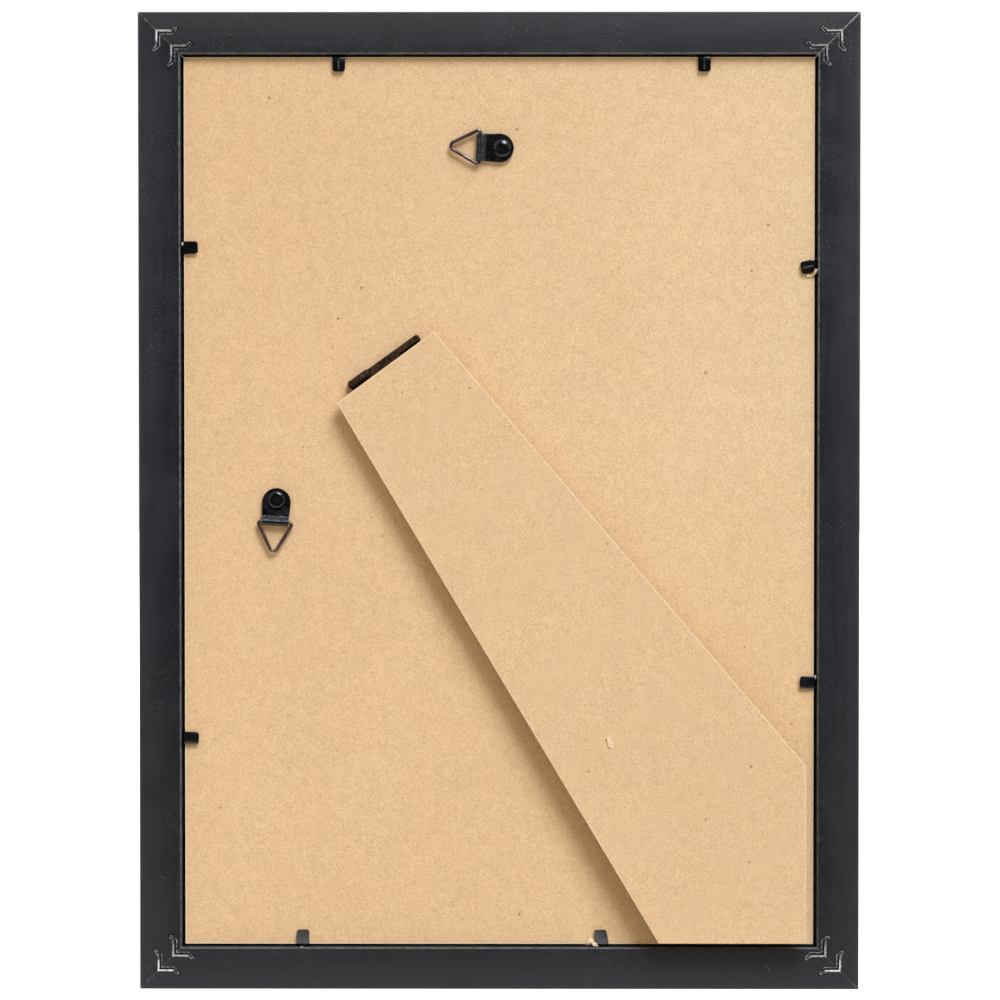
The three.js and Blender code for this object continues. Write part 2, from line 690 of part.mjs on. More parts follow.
// Back board, bored for the rivets and pierced by the teeth of the fixed leaf
const BOARD_W = REBATE_W - 2 * BOARD_PLAY_X;
const BOARD_H = REBATE_H - 2 * BOARD_PLAY_Y;
let board = solid(sheetOf(BOARD_W, BOARD_H, BOARD_Z, BOARD_T));
lying.updateMatrixWorld(true);
for (const { group } of Object.values(HANGERS)) {
  board = board.subtract(solid(rivetHole().applyMatrix4(group.matrixWorld)));
}
for (const place of TOOTH_PLACES) {
  board = board.subtract(solid(toothPocket(-1, place).applyMatrix4(hinge.matrixWorld)));
}
add("back_board", geometryOf(board), FIBREBOARD);

lying.rotation.x = Math.PI / 2;
const certificateFrame = new THREE.Group();
certificateFrame.add(lying);

export default certificateFrame;
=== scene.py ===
# %% [markdown]
# # The back of a certificate frame
# This lesson dresses a measured model of an A4 certificate frame and looks at it from behind, where the
# interesting parts are: the mitred corners with their V-nails, the bare fibreboard, the easel strut on
# its rolled hinge, the flexible tabs and the two riveted hangers.
# The measured model is loaded first. It is never moved or changed. Pieces whose shape is already right
# get a better material, and pieces that need softer edges are modelled again in the same place.

import math

import bmesh
import bpy
from mathutils import Matrix, Vector, noise


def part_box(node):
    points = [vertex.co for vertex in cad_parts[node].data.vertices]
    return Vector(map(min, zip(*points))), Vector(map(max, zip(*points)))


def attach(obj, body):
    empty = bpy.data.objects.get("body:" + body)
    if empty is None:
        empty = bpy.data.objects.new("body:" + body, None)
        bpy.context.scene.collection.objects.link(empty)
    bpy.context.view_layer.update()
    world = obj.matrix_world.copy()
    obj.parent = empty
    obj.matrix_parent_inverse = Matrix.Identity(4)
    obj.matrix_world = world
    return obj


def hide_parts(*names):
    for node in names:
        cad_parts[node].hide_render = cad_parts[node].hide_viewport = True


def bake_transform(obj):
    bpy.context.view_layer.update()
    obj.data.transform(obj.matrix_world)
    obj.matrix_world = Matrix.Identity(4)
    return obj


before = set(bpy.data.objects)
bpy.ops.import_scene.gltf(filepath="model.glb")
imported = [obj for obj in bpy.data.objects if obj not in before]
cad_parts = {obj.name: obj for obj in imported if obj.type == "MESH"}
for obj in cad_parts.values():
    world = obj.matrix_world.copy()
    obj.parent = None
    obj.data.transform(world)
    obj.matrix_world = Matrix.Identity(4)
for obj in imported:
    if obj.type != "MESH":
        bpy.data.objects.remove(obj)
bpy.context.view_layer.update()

# %% [markdown]
# ## The camera
# The photograph was taken from about a metre and a half behind the frame with a long lens, a little above
# its middle and looking slightly down. The camera is placed by those numbers and not aimed by eye, so
# that the rails stay as parallel as they are in the photograph.

# %% Camera behind the frame
CAMERA_PLACE = (0.00932, -1.507, 0.21114)
CAMERA_YAW = -0.345
CAMERA_PITCH = -1.789
FOCAL_PIXELS = 4484.5
PICTURE_PIXELS = 1000
SENSOR = 36.0
CLIP_START = 0.05

camera_data = bpy.data.cameras.new("camera_behind")
camera_data.sensor_width = SENSOR
camera_data.lens = FOCAL_PIXELS / PICTURE_PIXELS * SENSOR
camera_data.clip_start = CLIP_START
camera = bpy.data.objects.new("camera_behind", camera_data)
camera.location = CAMERA_PLACE
camera.rotation_euler = (math.radians(90 + CAMERA_PITCH), 0, math.radians(-CAMERA_YAW))
bpy.context.scene.collection.objects.link(camera)
bpy.context.scene.camera = camera
bpy.context.scene.view_settings.view_transform = "Standard"
print("lens", round(camera_data.lens, 1), "mm")

# %% [markdown]
# ## A helper for finishes
# The sky and every finish below are mixed from the same few ingredients: soft noise for patches and grain,
# a cell pattern for specks and fibres, and a smooth step that picks out part of a pattern. Each method
# of the helper adds a node or two and hands back an output, so that a finish reads like a recipe. Patterns
# use Object coordinates, which are metres on the object here, so a noise scale of 1000 is about one patch
# per millimetre.

# %% Recipe helper
WHITE = (1.0, 1.0, 1.0)
CELL_FADE = 0.02


class Recipe:
    """Shader nodes, added one after another."""

    def __init__(self, tree, coordinates="Object"):
        self.nodes = tree.nodes
        self.links = tree.links
        self.place = self.add("TexCoord")[coordinates]

    def feed(self, socket, value):
        """Link an output to a socket, or set a plain value or colour there."""
        if isinstance(value, bpy.types.NodeSocket):
            self.links.new(value, socket)
        else:
            socket.default_value = (*value, 1) if socket.type == "RGBA" else value

    def add(self, kind, inputs=None, **settings):
        """The outputs of a new node that has these settings and inputs."""
        node = self.nodes.new("ShaderNode" + kind)
        for name, value in settings.items():
            setattr(node, name, value)
        for socket, value in (inputs or {}).items():
            self.feed(node.inputs[socket], value)
        return node.outputs

    def along(self, axis, place=None):
        """One coordinate of a place."""
        return self.add("SeparateXYZ", {"Vector": place or self.place})[axis]

    def stretched(self, scale, turn=0.0, middle=(0, 0, 0)):
        """Coordinates stretched along the axes after a turn about the way through the frame."""
        turned = (0, math.radians(turn), 0)
        inputs = {"Vector": self.place, "Location": middle, "Rotation": turned, "Scale": scale}
        return self.add("Mapping", inputs, vector_type="TEXTURE")["Vector"]

    def step(self, value, low, high, bottom=0.0, top=1.0):
        """A smooth step from bottom at low to top at high."""
        inputs = {"Value": value, "From Min": low, "From Max": high, "To Min": bottom, "To Max": top}
        return self.add("MapRange", inputs, interpolation_type="SMOOTHSTEP")["Result"]

    def grain(self, scale, detail=2.0, place=None):
        """Soft noise from 0 to 1."""
        inputs = {"Vector": place or self.place, "Scale": scale, "Detail": detail}
        return self.add("TexNoise", inputs)["Fac"]

    def patches(self, scale, detail, low, high, bottom=0.0, top=1.0):
        """Soft noise turned into patches by a smooth step."""
        return self.step(self.grain(scale, detail), low, high, bottom, top)

    def maths(self, operation, first, second=0.0):
        """One sum on two values."""
        return self.add("Math", {0: first, 1: second}, operation=operation)["Value"]

    def apart(self, first, second):
        """How far two values are apart."""
        return self.maths("ABSOLUTE", self.maths("SUBTRACT", first, second))

    def all_of(self, first, *others):
        """Masks and shares multiplied together."""
        for other in others:
            first = self.maths("MULTIPLY", first, other)
        return first

    def blended(self, *parts):
        """Values added up, each given with its share."""
        total, *others = [self.all_of(value, share) for value, share in parts]
        for other in others:
            total = self.maths("ADD", total, other)
        return total

    def mixed(self, share, first, second, blend="MIX"):
        """A colour between two colours. A Mix node has its colours at 6 and 7, and their mix at 2."""
        inputs = {0: share, 6: first, 7: second}
        return self.add("Mix", inputs, data_type="RGBA", blend_type=blend)[2]

    def tinted(self, colour, tint):
        """A colour multiplied by another."""
        return self.mixed(1.0, colour, tint, blend="MULTIPLY")

    def specks(self, scale, size, share, place=None):
        """Small dots of a size in cells, in only a share of the cells."""
        cells = self.add("TexVoronoi", {"Vector": place or self.place, "Scale": scale})
        number = self.add("SeparateColor", {"Color": cells["Color"]})["Red"]
        dot = self.step(cells["Distance"], size, 0.5 * size)
        return self.all_of(dot, self.step(number, 1 - share, 1 - share + CELL_FADE))

    def spot(self, middle, radius):
        """A soft round spot at a place."""
        away = self.add("VectorMath", {0: self.place, 1: middle}, operation="DISTANCE")["Value"]
        return self.step(away, radius, 0.4 * radius)

    def stroke(self, middle, angle, length, width):
        """A soft straight stroke on the back, at a place and an angle."""
        place = self.stretched((0.5 * length, 1.0, 0.5 * width), -angle, middle)
        along = self.step(self.maths("ABSOLUTE", self.along("X", place)), 1.0, 0.6)
        across = self.step(self.maths("ABSOLUTE", self.along("Z", place)), 1.0, 0.3)
        return self.all_of(along, across)


# %% Recipe for a material
MM = 0.001


class Finish(Recipe):
    """A procedural material."""

    def __init__(self, name, roughness, specular, metallic=0.0):
        self.material = bpy.data.materials.new(name)
        self.material.use_nodes = True
        super().__init__(self.material.node_tree)
        self.shader = self.nodes["Principled BSDF"]
        self.set("Roughness", roughness)
        self.set("Specular IOR Level", specular)
        self.set("Metallic", metallic)

    def set(self, name, value):
        """Feed an input of the shader."""
        self.feed(self.shader.inputs[name], value)

    def paint(self, colour):
        """Set the colour, and keep it for a coat on top."""
        self.colour = colour
        self.set("Base Color", colour)

    def relief(self, height, depth):
        """Bump from a height from 0 to 1, with its depth in millimetres."""
        self.set("Normal", self.add("Bump", {"Distance": depth * MM, "Height": height})["Normal"])


def dress(finish, *names):
    """Give nodes of the measured model a finish in all their material slots."""
    for name in names:
        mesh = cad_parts[name].data
        mesh.materials.clear()
        mesh.materials.append(finish.material)
    print(finish.material.name, "on", len(names), "nodes")


# %% [markdown]
# ## A white studio
# The world does two jobs. As a lamp it is dim and a little warm, so that shadows on the fibreboard turn
# brown and not grey. To look at, straight or through glass, it is white. What shiny surfaces mirror is
# white too, except round the camera, where the room is dark as it is in a real studio: that keeps flat
# black enamel black while its slopes shine.

# %% World that is white to look at and dim as a lamp
WORLD_LEVEL = 0.34
WORLD_TINT = (1.14, 0.88, 0.52)
ROOM_LEVEL = 0.02
ROOM_DARK_FROM = -0.93
ROOM_DARK_TO = -0.20

world = bpy.data.worlds.new("white_studio")
bpy.context.scene.world = world
world.use_nodes = True
sky = Recipe(world.node_tree, "Generated")
sky.nodes.remove(sky.nodes["Background"])


def light(colour, strength):
    """A sky of one colour and level."""
    return sky.add("Background", {"Color": colour, "Strength": strength})["Background"]


def sky_for(share, otherwise, chosen):
    """One sky for the rays of a kind, and another for the rest."""
    return sky.add("MixShader", {0: share, 1: otherwise, 2: chosen})["Shader"]


room = sky.step(sky.along("Y"), ROOM_DARK_FROM, ROOM_DARK_TO, ROOM_LEVEL)
rays = sky.add("LightPath")
looked_at = sky.maths("MAXIMUM", rays["Is Camera Ray"], rays["Is Transmission Ray"])
mirrored_sky = sky_for(rays["Is Glossy Ray"], light(WORLD_TINT, WORLD_LEVEL), light(WHITE, room))
whole_sky = sky_for(looked_at, mirrored_sky, light(WHITE, 1.0))
sky.feed(sky.nodes["World Output"].inputs["Surface"], whole_sky)
print("world level", WORLD_LEVEL)

# %% [markdown]
# ## The lamps
# In the photograph the strut's shadow falls down and to the left with a wide soft edge, the top rail
# shades the board and the right rail hardly does. So the light stands high, a little to the right, and is
# large. A sun lamp with a wide angle gives that shadow and lights the whole board evenly. A second, plain
# area lamp stands in front of the frame for views of that side.

# %% Key light and front lamp
FRAME_MIDDLE = Vector((0, 0, 0.1636))
KEY_TOWARDS = Vector((0.50, -1.0, 1.35))
KEY_AWAY = 2.0
KEY_STRENGTH = 3.15
KEY_SPREAD = 30.0
KEY_TINT = (0.89, 1.0, 1.15)
FRONT_TOWARDS = Vector((-0.5, 1.0, 0.55))
FRONT_AWAY = 2.6
FRONT_WATTS = 42.0
FRONT_WIDTH = 1.2


def aimed_lamp(name, kind, towards, away):
    """A lamp that stands in a direction from the middle of the frame and faces it."""
    data = bpy.data.lights.new(name, kind)
    lamp = bpy.data.objects.new(name, data)
    lamp.location = FRAME_MIDDLE + away * towards.normalized()
    lamp.rotation_euler = (-towards).to_track_quat("-Z", "Y").to_euler()
    bpy.context.scene.collection.objects.link(lamp)
    return data


key = aimed_lamp("key_high_right", "SUN", KEY_TOWARDS, KEY_AWAY)
key.energy = KEY_STRENGTH
key.angle = math.radians(KEY_SPREAD)
key.color = KEY_TINT
front = aimed_lamp("front_side", "AREA", FRONT_TOWARDS, FRONT_AWAY)
front.energy = FRONT_WATTS
front.size = FRONT_WIDTH
print("key", KEY_STRENGTH, "over", KEY_SPREAD, "degrees")

# %% [markdown]
# ## The floor
# The frame stands on a plain pale table. A grey horizon would cut across the white background, so the
# floor glows a little for looking rays only, more with distance until it is white. Near the frame it stays
# a lit surface that catches the frame's shadow. What the black enamel mirrors of it gets dark towards the
# camera, like the room behind it.

# %% Floor
FLOOR_HALF = 4.0

bm = bmesh.new()
bmesh.ops.create_grid(bm, x_segments=1, y_segments=1, size=FLOOR_HALF)
floor_mesh = bpy.data.meshes.new("floor")
bm.to_mesh(floor_mesh)
bm.free()
floor = bpy.data.objects.new("floor", floor_mesh)
bpy.context.scene.collection.objects.link(floor)
print("floor", 2 * FLOOR_HALF, "m wide")

# %% Finish of the floor
FLOOR_NEAR = 0.30
FLOOR_FAR = 0.75
FLOOR_GLOW_NEAR = 0.72
FLOOR_TONE = (0.50, 0.48, 0.44)
FLOOR_DARK = (0.03, 0.03, 0.03)
FLOOR_DARK_FROM = -0.12
FLOOR_DARK_TO = -0.26

table = Finish("pale_table", roughness=0.9, specular=0.1)
away = table.add("VectorMath", {0: table.place}, operation="LENGTH")["Value"]
glow = table.step(away, FLOOR_NEAR, FLOOR_FAR, FLOOR_GLOW_NEAR)
dark = table.step(table.along("Y"), FLOOR_DARK_FROM, FLOOR_DARK_TO)
rays = table.add("LightPath")
mirrored_near = table.all_of(rays["Is Glossy Ray"], table.maths("SUBTRACT", 1.0, dark))
seen = table.maths("MAXIMUM", rays["Is Camera Ray"], mirrored_near)
seen = table.maths("MAXIMUM", seen, rays["Is Transmission Ray"])
table.set("Emission Color", WHITE)
table.set("Emission Strength", table.all_of(glow, seen))
mirrored_far = table.all_of(rays["Is Glossy Ray"], dark)
table.paint(table.mixed(mirrored_far, FLOOR_TONE, FLOOR_DARK))
floor_mesh.materials.append(table.material)
print(table.material.name, "has", len(table.nodes), "nodes")

# %% [markdown]
# ## Black moulding
# The rails are cut from a black plastic moulding with a satin skin. Extrusion leaves soft streaks along
# each rail, handling leaves dust in clusters and hair scratches, the outer edges are rubbed paler, and the
# sawn mitres show as broken pale lines that widen towards the corner. A pale line along the rounded inner
# rim is a painted highlight, in worn patches. Streaks have a direction, so the top rail, the bottom one and
# the upright ones get a finish each from one recipe: the top rail is a little paler than the bottom one,
# the upright ones are darkest, and each rail is paler at its outer edge than towards the rebate. How far a
# point lies from the outer edges gives the rim highlight, the rubbed edge and the mitre, so none of them
# needs extra mesh. The skin is also painted greyer towards the upper right and blacker low down, as painted
# light that falls off away from the lamp.

# %% Distances on the frame
OUTER_W = 241.2
OUTER_H = 327.2
LAND_W = 14.2
MIDDLE_Y = 0.5 * OUTER_H
BACK_Z = -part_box("rail_top")[0].y / MM


def edge_distances(finish, width, height):
    """How far a point is inside the side edges and the end edges of a centred rectangle, in millimetres."""
    across = finish.all_of(finish.maths("ABSOLUTE", finish.along("X")), 1 / MM)
    up = finish.apart(finish.all_of(finish.along("Z"), 1 / MM), MIDDLE_Y)
    return finish.maths("SUBTRACT", 0.5 * width, across), finish.maths("SUBTRACT", 0.5 * height, up)


print("back of the moulding at", round(BACK_Z, 3), "mm")

# %% Moulding finish for the rails
SKIN_GREY = (0.036, 0.037, 0.042)
RUBBED_GREY = (0.038, 0.037, 0.037)
DUST_GREY = (0.12, 0.12, 0.125)
SCRATCH_GREY = (0.11, 0.11, 0.115)
HAIR_GREY = (0.10, 0.10, 0.11)
RIM_HIGHLIGHT_GREY = (0.20, 0.195, 0.195)
MITRE_GREY = (0.19, 0.19, 0.195)
PAINTED_SHADE_LOW = 0.74
PAINTED_LIGHT_HIGH = 0.36
PAINTED_LIGHT_RIGHT = 0.36
BEHIND_FROM = BACK_Z - 1.2
BEHIND_TO = BACK_Z - 0.9
RIM_LINE = 13.75
RIM_LINE_HALF = 0.30
HAIR_ANGLES = (24, -31, 67)
HAIR_CELL = (0.020, 0.006, 0.0028)
SCRATCHES = (
    ((90.4, 6.6), -61, 4.2, 0.40),
    ((-113.0, 37.5), -20, 2.6, 0.30),
    ((-117.7, 7.0), 70, 1.0, 0.70),
)


def moulding(name, stretch, inner_tone, outer_tone):
    """Black moulding with its streaks stretched along a rail."""
    finish = Finish(name, roughness=0.5, specular=0.30)
    streaks = finish.grain(1.0, 5.0, finish.stretched(stretch))
    patches = finish.grain(90.0, 3.0)
    pores = finish.grain(1500.0)
    skin = finish.blended((streaks, 0.36), (patches, 0.38), (pores, 0.26))
    from_side, from_end = edge_distances(finish, OUTER_W, OUTER_H)
    outer = finish.maths("MINIMUM", from_side, from_end)
    body = finish.mixed(finish.step(outer, -2.0, 14.0), outer_tone, inner_tone)
    body = finish.mixed(finish.step(skin, 0.40, 0.66, 0.0, 0.32), body, SKIN_GREY)
    rubbed = finish.all_of(finish.step(outer, 1.8, 0.3), finish.step(patches, 0.30, 0.62, 0.3, 0.8))
    body = finish.mixed(rubbed, body, RUBBED_GREY)
    dusty = finish.patches(38.0, 2.0, 0.46, 0.66, 0.16)
    uneven = finish.patches(1700.0, 3.0, 0.36, 0.64)
    motes = finish.maths("MAXIMUM", finish.specks(1250.0, 0.36, 0.40), finish.specks(480.0, 0.20, 0.16))
    body = finish.mixed(finish.all_of(motes, uneven, dusty, 0.6), body, DUST_GREY)
    for (x, y), angle, length, width in SCRATCHES:
        scratch = finish.stroke((x * MM, 0, y * MM), angle, length * MM, width * MM)
        body = finish.mixed(finish.all_of(scratch, 0.8), body, SCRATCH_GREY)
    for angle in HAIR_ANGLES:
        hair = finish.specks(1.0, 0.045, 0.16, finish.stretched(HAIR_CELL, angle))
        body = finish.mixed(finish.all_of(hair, 0.45), body, HAIR_GREY)
    behind = finish.step(finish.along("Y"), -BEHIND_FROM * MM, -BEHIND_TO * MM)
    worn = finish.patches(420.0, 4.0, 0.34, 0.62, 0.30, 0.75)
    # Painted highlight: a pale line along the rounded inner rim where it would catch the light, broken up
    # by worn patches.
    rim = finish.step(finish.apart(outer, RIM_LINE), RIM_LINE_HALF, 0.12)
    body = finish.mixed(finish.all_of(rim, worn, behind), body, RIM_HIGHLIGHT_GREY)
    spread = finish.step(outer, 1.0, 9.0, 0.62, 0.24)
    mitre = finish.step(finish.maths("DIVIDE", finish.apart(from_side, from_end), spread), 1.0, 0.3)
    broken = finish.patches(760.0, 3.0, 0.40, 0.60, 0.1, 0.8)
    mitre = finish.all_of(mitre, broken, finish.step(behind, 0.0, 1.0, 0.1))
    body = finish.mixed(mitre, body, MITRE_GREY)
    # Painted light: the skin is made greyer towards the upper right and blacker low down, as if the light
    # fell off away from the lamp.
    high = finish.step(finish.along("Z"), 0.0, OUTER_H * MM)
    right = finish.step(finish.along("X"), -0.5 * OUTER_W * MM, 0.5 * OUTER_W * MM)
    painted_light_gain = finish.blended((high, PAINTED_LIGHT_HIGH), (finish.all_of(high, right), PAINTED_LIGHT_RIGHT))
    finish.paint(finish.tinted(body, finish.maths("ADD", painted_light_gain, PAINTED_SHADE_LOW)))
    finish.set("Roughness", finish.step(skin, 0.3, 0.7, 0.44, 0.60))
    finish.relief(finish.blended((streaks, 0.7), (pores, 0.3)), 0.06)
    return finish


# %% Rails in their finishes
LEVEL_GRAIN = (0.030, 0.003, 0.0016)
UPRIGHT_GRAIN = (0.0016, 0.003, 0.030)
MOULDINGS = {
    "top": (LEVEL_GRAIN, (0.0170, 0.0172, 0.0195), (0.037, 0.0375, 0.040), ["rail_top"]),
    "bottom": (LEVEL_GRAIN, (0.0122, 0.0126, 0.0155), (0.0325, 0.033, 0.037), ["rail_bottom"]),
    "upright": (UPRIGHT_GRAIN, (0.009, 0.0093, 0.012), (0.026, 0.0265, 0.03), ["rail_left", "rail_right"]),
}
for name, (stretch, inner_tone, outer_tone, rails) in MOULDINGS.items():
    dress(moulding(f"{name}_moulding", stretch, inner_tone, outer_tone), *rails)

# %% [markdown]
# ## Bare fibreboard
# The back and the strut are sanded fibreboard: pressed wood fibres, so the surface has no grain direction,
# only a fine fuzz, faint clouds, many pale brown specks, a few dark ones of bark and some loose fibres
# that lie any way. A picture of fibreboard would repeat and blur, so the fuzz is noise at three sizes and
# the fibres are stretched cells at several angles. Sawn edges are paler than the sanded face. The back
# board shows that as a thin pale line round its edge. The board also carries painted light: it is painted
# a little brighter and bluer at the upper right, and darker and yellower on the left and at the lower
# right, as painted shade.

# %% Fibreboard finish
BLUSH = (0.86, 0.50, 0.34)
FRECKLE = (0.46, 0.28, 0.13)
BARK = (0.27, 0.155, 0.075)
DARK_FIBRE = (0.44, 0.27, 0.13)
DARK_FIBRE_CELL = (0.009, 0.004, 0.0016)
PALE_FIBRE = (0.95, 0.78, 0.55)
PALE_FIBRE_CELL = (0.007, 0.004, 0.0014)
FIBRE_ANGLES = (18, 77, 139)
FIBRE_CROSSING = 29


def fibreboard(name, pale, tan):
    """Sanded fibreboard between two tones."""
    finish = Finish(name, roughness=0.85, specular=0.12)
    clouds = finish.grain(20.0)
    mottle = finish.grain(300.0)
    fuzz = finish.grain(1900.0, 3.0)
    tone = finish.blended((clouds, 0.11), (mottle, 0.20), (fuzz, 0.69))
    colour = finish.mixed(finish.step(tone, 0.31, 0.69), tan, pale)
    colour = finish.mixed(finish.patches(70.0, 2.0, 0.40, 0.66, 0.0, 0.14), colour, BLUSH)
    small_freckles = finish.specks(900.0, 0.26, 0.25)
    large_freckles = finish.specks(520.0, 0.22, 0.30)
    colour = finish.mixed(finish.blended((small_freckles, 0.30), (large_freckles, 0.40)), colour, FRECKLE)
    bark = finish.specks(130.0, 0.085, 0.34)
    broken = finish.patches(700.0, 2.0, 0.32, 0.66, 0.15, 0.85)
    colour = finish.mixed(finish.all_of(bark, broken), colour, BARK)
    for angle in FIBRE_ANGLES:
        fibre = finish.specks(1.0, 0.10, 0.20, finish.stretched(DARK_FIBRE_CELL, angle))
        colour = finish.mixed(finish.all_of(fibre, 0.32), colour, DARK_FIBRE)
        fibre = finish.specks(1.0, 0.09, 0.16, finish.stretched(PALE_FIBRE_CELL, angle + FIBRE_CROSSING))
        colour = finish.mixed(finish.all_of(fibre, 0.35), colour, PALE_FIBRE)
    finish.paint(colour)
    finish.relief(finish.blended((fuzz, 0.7), (mottle, 0.3)), 0.06)
    return finish


# %% Back board
SAWN = (0.93, 0.76, 0.53)
LEFT_SHADE_TINT = (0.980, 0.950, 0.935)
UPPER_RIGHT_LIGHT_TINT = (1.020, 1.055, 1.080)
LOWER_RIGHT_SHADE_TINT = (0.985, 0.980, 0.945)
LOW_FROM = 0.20
LOW_TO = 0.09
FADE_HALF = 0.10
board_low, board_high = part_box("back_board")
BOARD_W = (board_high.x - board_low.x) / MM
BOARD_H = (board_high.z - board_low.z) / MM
BOARD_Z = -board_low.y / MM

board = fibreboard("sanded_fibreboard", (0.892, 0.627, 0.362), (0.703, 0.473, 0.257))
board_edge = board.maths("MINIMUM", *edge_distances(board, BOARD_W, BOARD_H))
# Painted light and shade: brighter at the upper right, darker and yellower on the left and at the lower
# right.
board_right = board.step(board.along("X"), -FADE_HALF, FADE_HALF)
board_lower = board.step(board.along("Z"), LOW_FROM, LOW_TO)
painted_light_tint = board.mixed(board_right, LEFT_SHADE_TINT, board.mixed(board_lower, UPPER_RIGHT_LIGHT_TINT, LOWER_RIGHT_SHADE_TINT))
painted_light_board = board.tinted(board.colour, painted_light_tint)
board.paint(board.mixed(board.step(board_edge, 0.55, 0.15, 0.0, 0.7), painted_light_board, SAWN))
dress(board, "back_board")
print("board", round(BOARD_W, 2), "x", round(BOARD_H, 2), "mm, its back at", round(BOARD_Z, 3))

# %% [markdown]
# ## Making pieces
# The drawing of the frame has it lying on its face, in millimetres: x to the right, y up the page and z
# out of the back. New pieces are modelled in that lying place, because the numbers are easy to read there.
# One function then stands the mesh up, scales it to metres and makes it ride on a body of the measured
# model, so the object itself stays at the origin. Edges sharper than a limit stay crisp and the rest
# shade smooth. The other functions are steps that several pieces share.

# %% Stand a piece up and let it ride
STAND_UP = Matrix.Scale(MM, 4) @ Matrix.Rotation(math.radians(90), 4, "X")


def new_piece(name, bm, finishes, body=None, crisp=40.0):
    """An object from a finished bmesh in the lying place, in millimetres."""
    bm.transform(STAND_UP)
    for face in bm.faces:
        face.smooth = True
    for edge in bm.edges:
        edge.smooth = edge.calc_face_angle(math.pi) < math.radians(crisp)
    mesh = bpy.data.meshes.new(name)
    bm.to_mesh(mesh)
    bm.free()
    for finish in finishes:
        mesh.materials.append(finish.material)
    piece = bpy.data.objects.new(name, mesh)
    bpy.context.scene.collection.objects.link(piece)
    if body:
        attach(piece, body)
    print(name, "has", len(mesh.polygons), "faces")
    return piece


print("pieces stand up by", STAND_UP.to_euler().x, "radians")

# %% Shared modelling steps
WELD = 0.001


def placed(x, y, z, turn):
    """A place on the page, turned by degrees."""
    return Matrix.Translation((x, y, z)) @ Matrix.Rotation(math.radians(turn), 4, "Z")


def moved_verts(result):
    """The vertices that an extrude or spin has just made."""
    return [part for part in result if isinstance(part, bmesh.types.BMVert)]


def moved_edges(result):
    """The edges that an operator has just made."""
    return [part for part in result if isinstance(part, bmesh.types.BMEdge)]


def drawn(bm, points):
    """The edges of a line through points."""
    verts = [bm.verts.new(point) for point in points]
    return [bm.edges.new(pair) for pair in zip(verts, verts[1:])]


def outward(bm):
    """Turn all faces to look outwards."""
    bmesh.ops.recalc_face_normals(bm, faces=bm.faces[:])


def thicken(bm, height):
    """Pull the faces of a flat sheet up into a solid."""
    lifted = bmesh.ops.extrude_face_region(bm, geom=bm.faces[:])["geom"]
    bmesh.ops.translate(bm, verts=moved_verts(lifted), vec=(0, 0, height))
    outward(bm)


def shell(bm, thickness):
    """Give a bent sheet a thickness."""
    outward(bm)
    bmesh.ops.solidify(bm, geom=bm.faces[:], thickness=thickness)
    outward(bm)


def soften(bm, edges, arris):
    """A small rounded bevel."""
    bmesh.ops.bevel(bm, geom=edges, offset=arris, segments=2, profile=0.5, affect="EDGES", material=-1)


def sharp_edges(bm, above=50.0):
    """The edges that turn by more than some degrees."""
    return [edge for edge in bm.edges if edge.calc_face_angle(0.0) > math.radians(above)]


# %% [markdown]
# ## The easel strut
# The strut is a five-sided piece of fibreboard with two foot edges, so that the frame stands upright or
# sideways. It hangs from the hinge at a slant and lies almost flat. Its outline is one face, trimmed out
# of a large grid and extruded by its thickness. A saw leaves a paler, slightly broken edge that catches
# the light, so all edges get a small bevel, and the bevels and sides get a finish of their own. An inset
# of the outer face makes a narrow rim that is painted paler, as a painted highlight along the edges.

# %% Place of the strut
BARREL_R = 1.3
HINGE = Vector((-38.5, 210.4, BOARD_Z + BARREL_R))
HINGE_ANGLE = 35.7
STRUT_OPEN = math.radians(1.0)
STRUT_T = 3.0
STRUT_LOW = 1.35

hinge_place = placed(*HINGE, HINGE_ANGLE)
strut_place = hinge_place @ Matrix.Rotation(-STRUT_OPEN, 4, "X")


def on_strut(x, y):
    """A point on the strut's outer face, in the strut's own place, from where it shows on the page."""
    local = hinge_place.inverted() @ Vector((x, y, HINGE.z))
    return Vector((local.x, local.y, STRUT_LOW + STRUT_T))


print("hinge", round(HINGE.z, 2), "mm up, turned by", HINGE_ANGLE, "degrees")

# %% Fibre finishes of the strut
STRUT_PIT = Vector((35.95, 84.2))
STRUT_PIT_R = 0.62
PIT_BROWN = (0.10, 0.055, 0.025)


def two_tone(finish, grain, low, high, dark, pale, depth):
    """Paint a finish in two tones by a grain, with the same grain as its relief."""
    finish.paint(finish.mixed(finish.step(grain, low, high), dark, pale))
    finish.relief(grain, depth)
    print(finish.material.name, "has", len(finish.nodes), "nodes")
    return finish


def rough_fibre(name, dark, pale, depth):
    """Fibreboard that was sawn or torn, or pale fibreboard for a painted highlight."""
    finish = Finish(name, roughness=0.9, specular=0.1)
    return two_tone(finish, finish.grain(1400.0, 3.0), 0.3, 0.7, dark, pale, depth)


flake_fibre = rough_fibre("flake_fibre", (0.74, 0.515, 0.295), (0.93, 0.70, 0.445), 0.10)
torn_fibre = rough_fibre("torn_fibre", (0.70, 0.48, 0.27), (0.95, 0.78, 0.54), 0.12)
sawn_edge = rough_fibre("sawn_edge", (0.74, 0.535, 0.325), (0.89, 0.70, 0.48), 0.08)
# A painted highlight: the pale rim along the strut's outer edges.
rim_highlight_fibre = rough_fibre("rim_highlight_fibre", (0.76, 0.52, 0.295), (0.93, 0.665, 0.39), 0.06)

strut_finish = fibreboard("strut_fibreboard", (0.868, 0.602, 0.349), (0.682, 0.455, 0.249))
pit_place = STAND_UP @ strut_place @ on_strut(*STRUT_PIT)
strut_pit = strut_finish.all_of(strut_finish.spot(pit_place, STRUT_PIT_R * MM), 0.5)
strut_finish.paint(strut_finish.mixed(strut_pit, strut_finish.colour, PIT_BROWN))

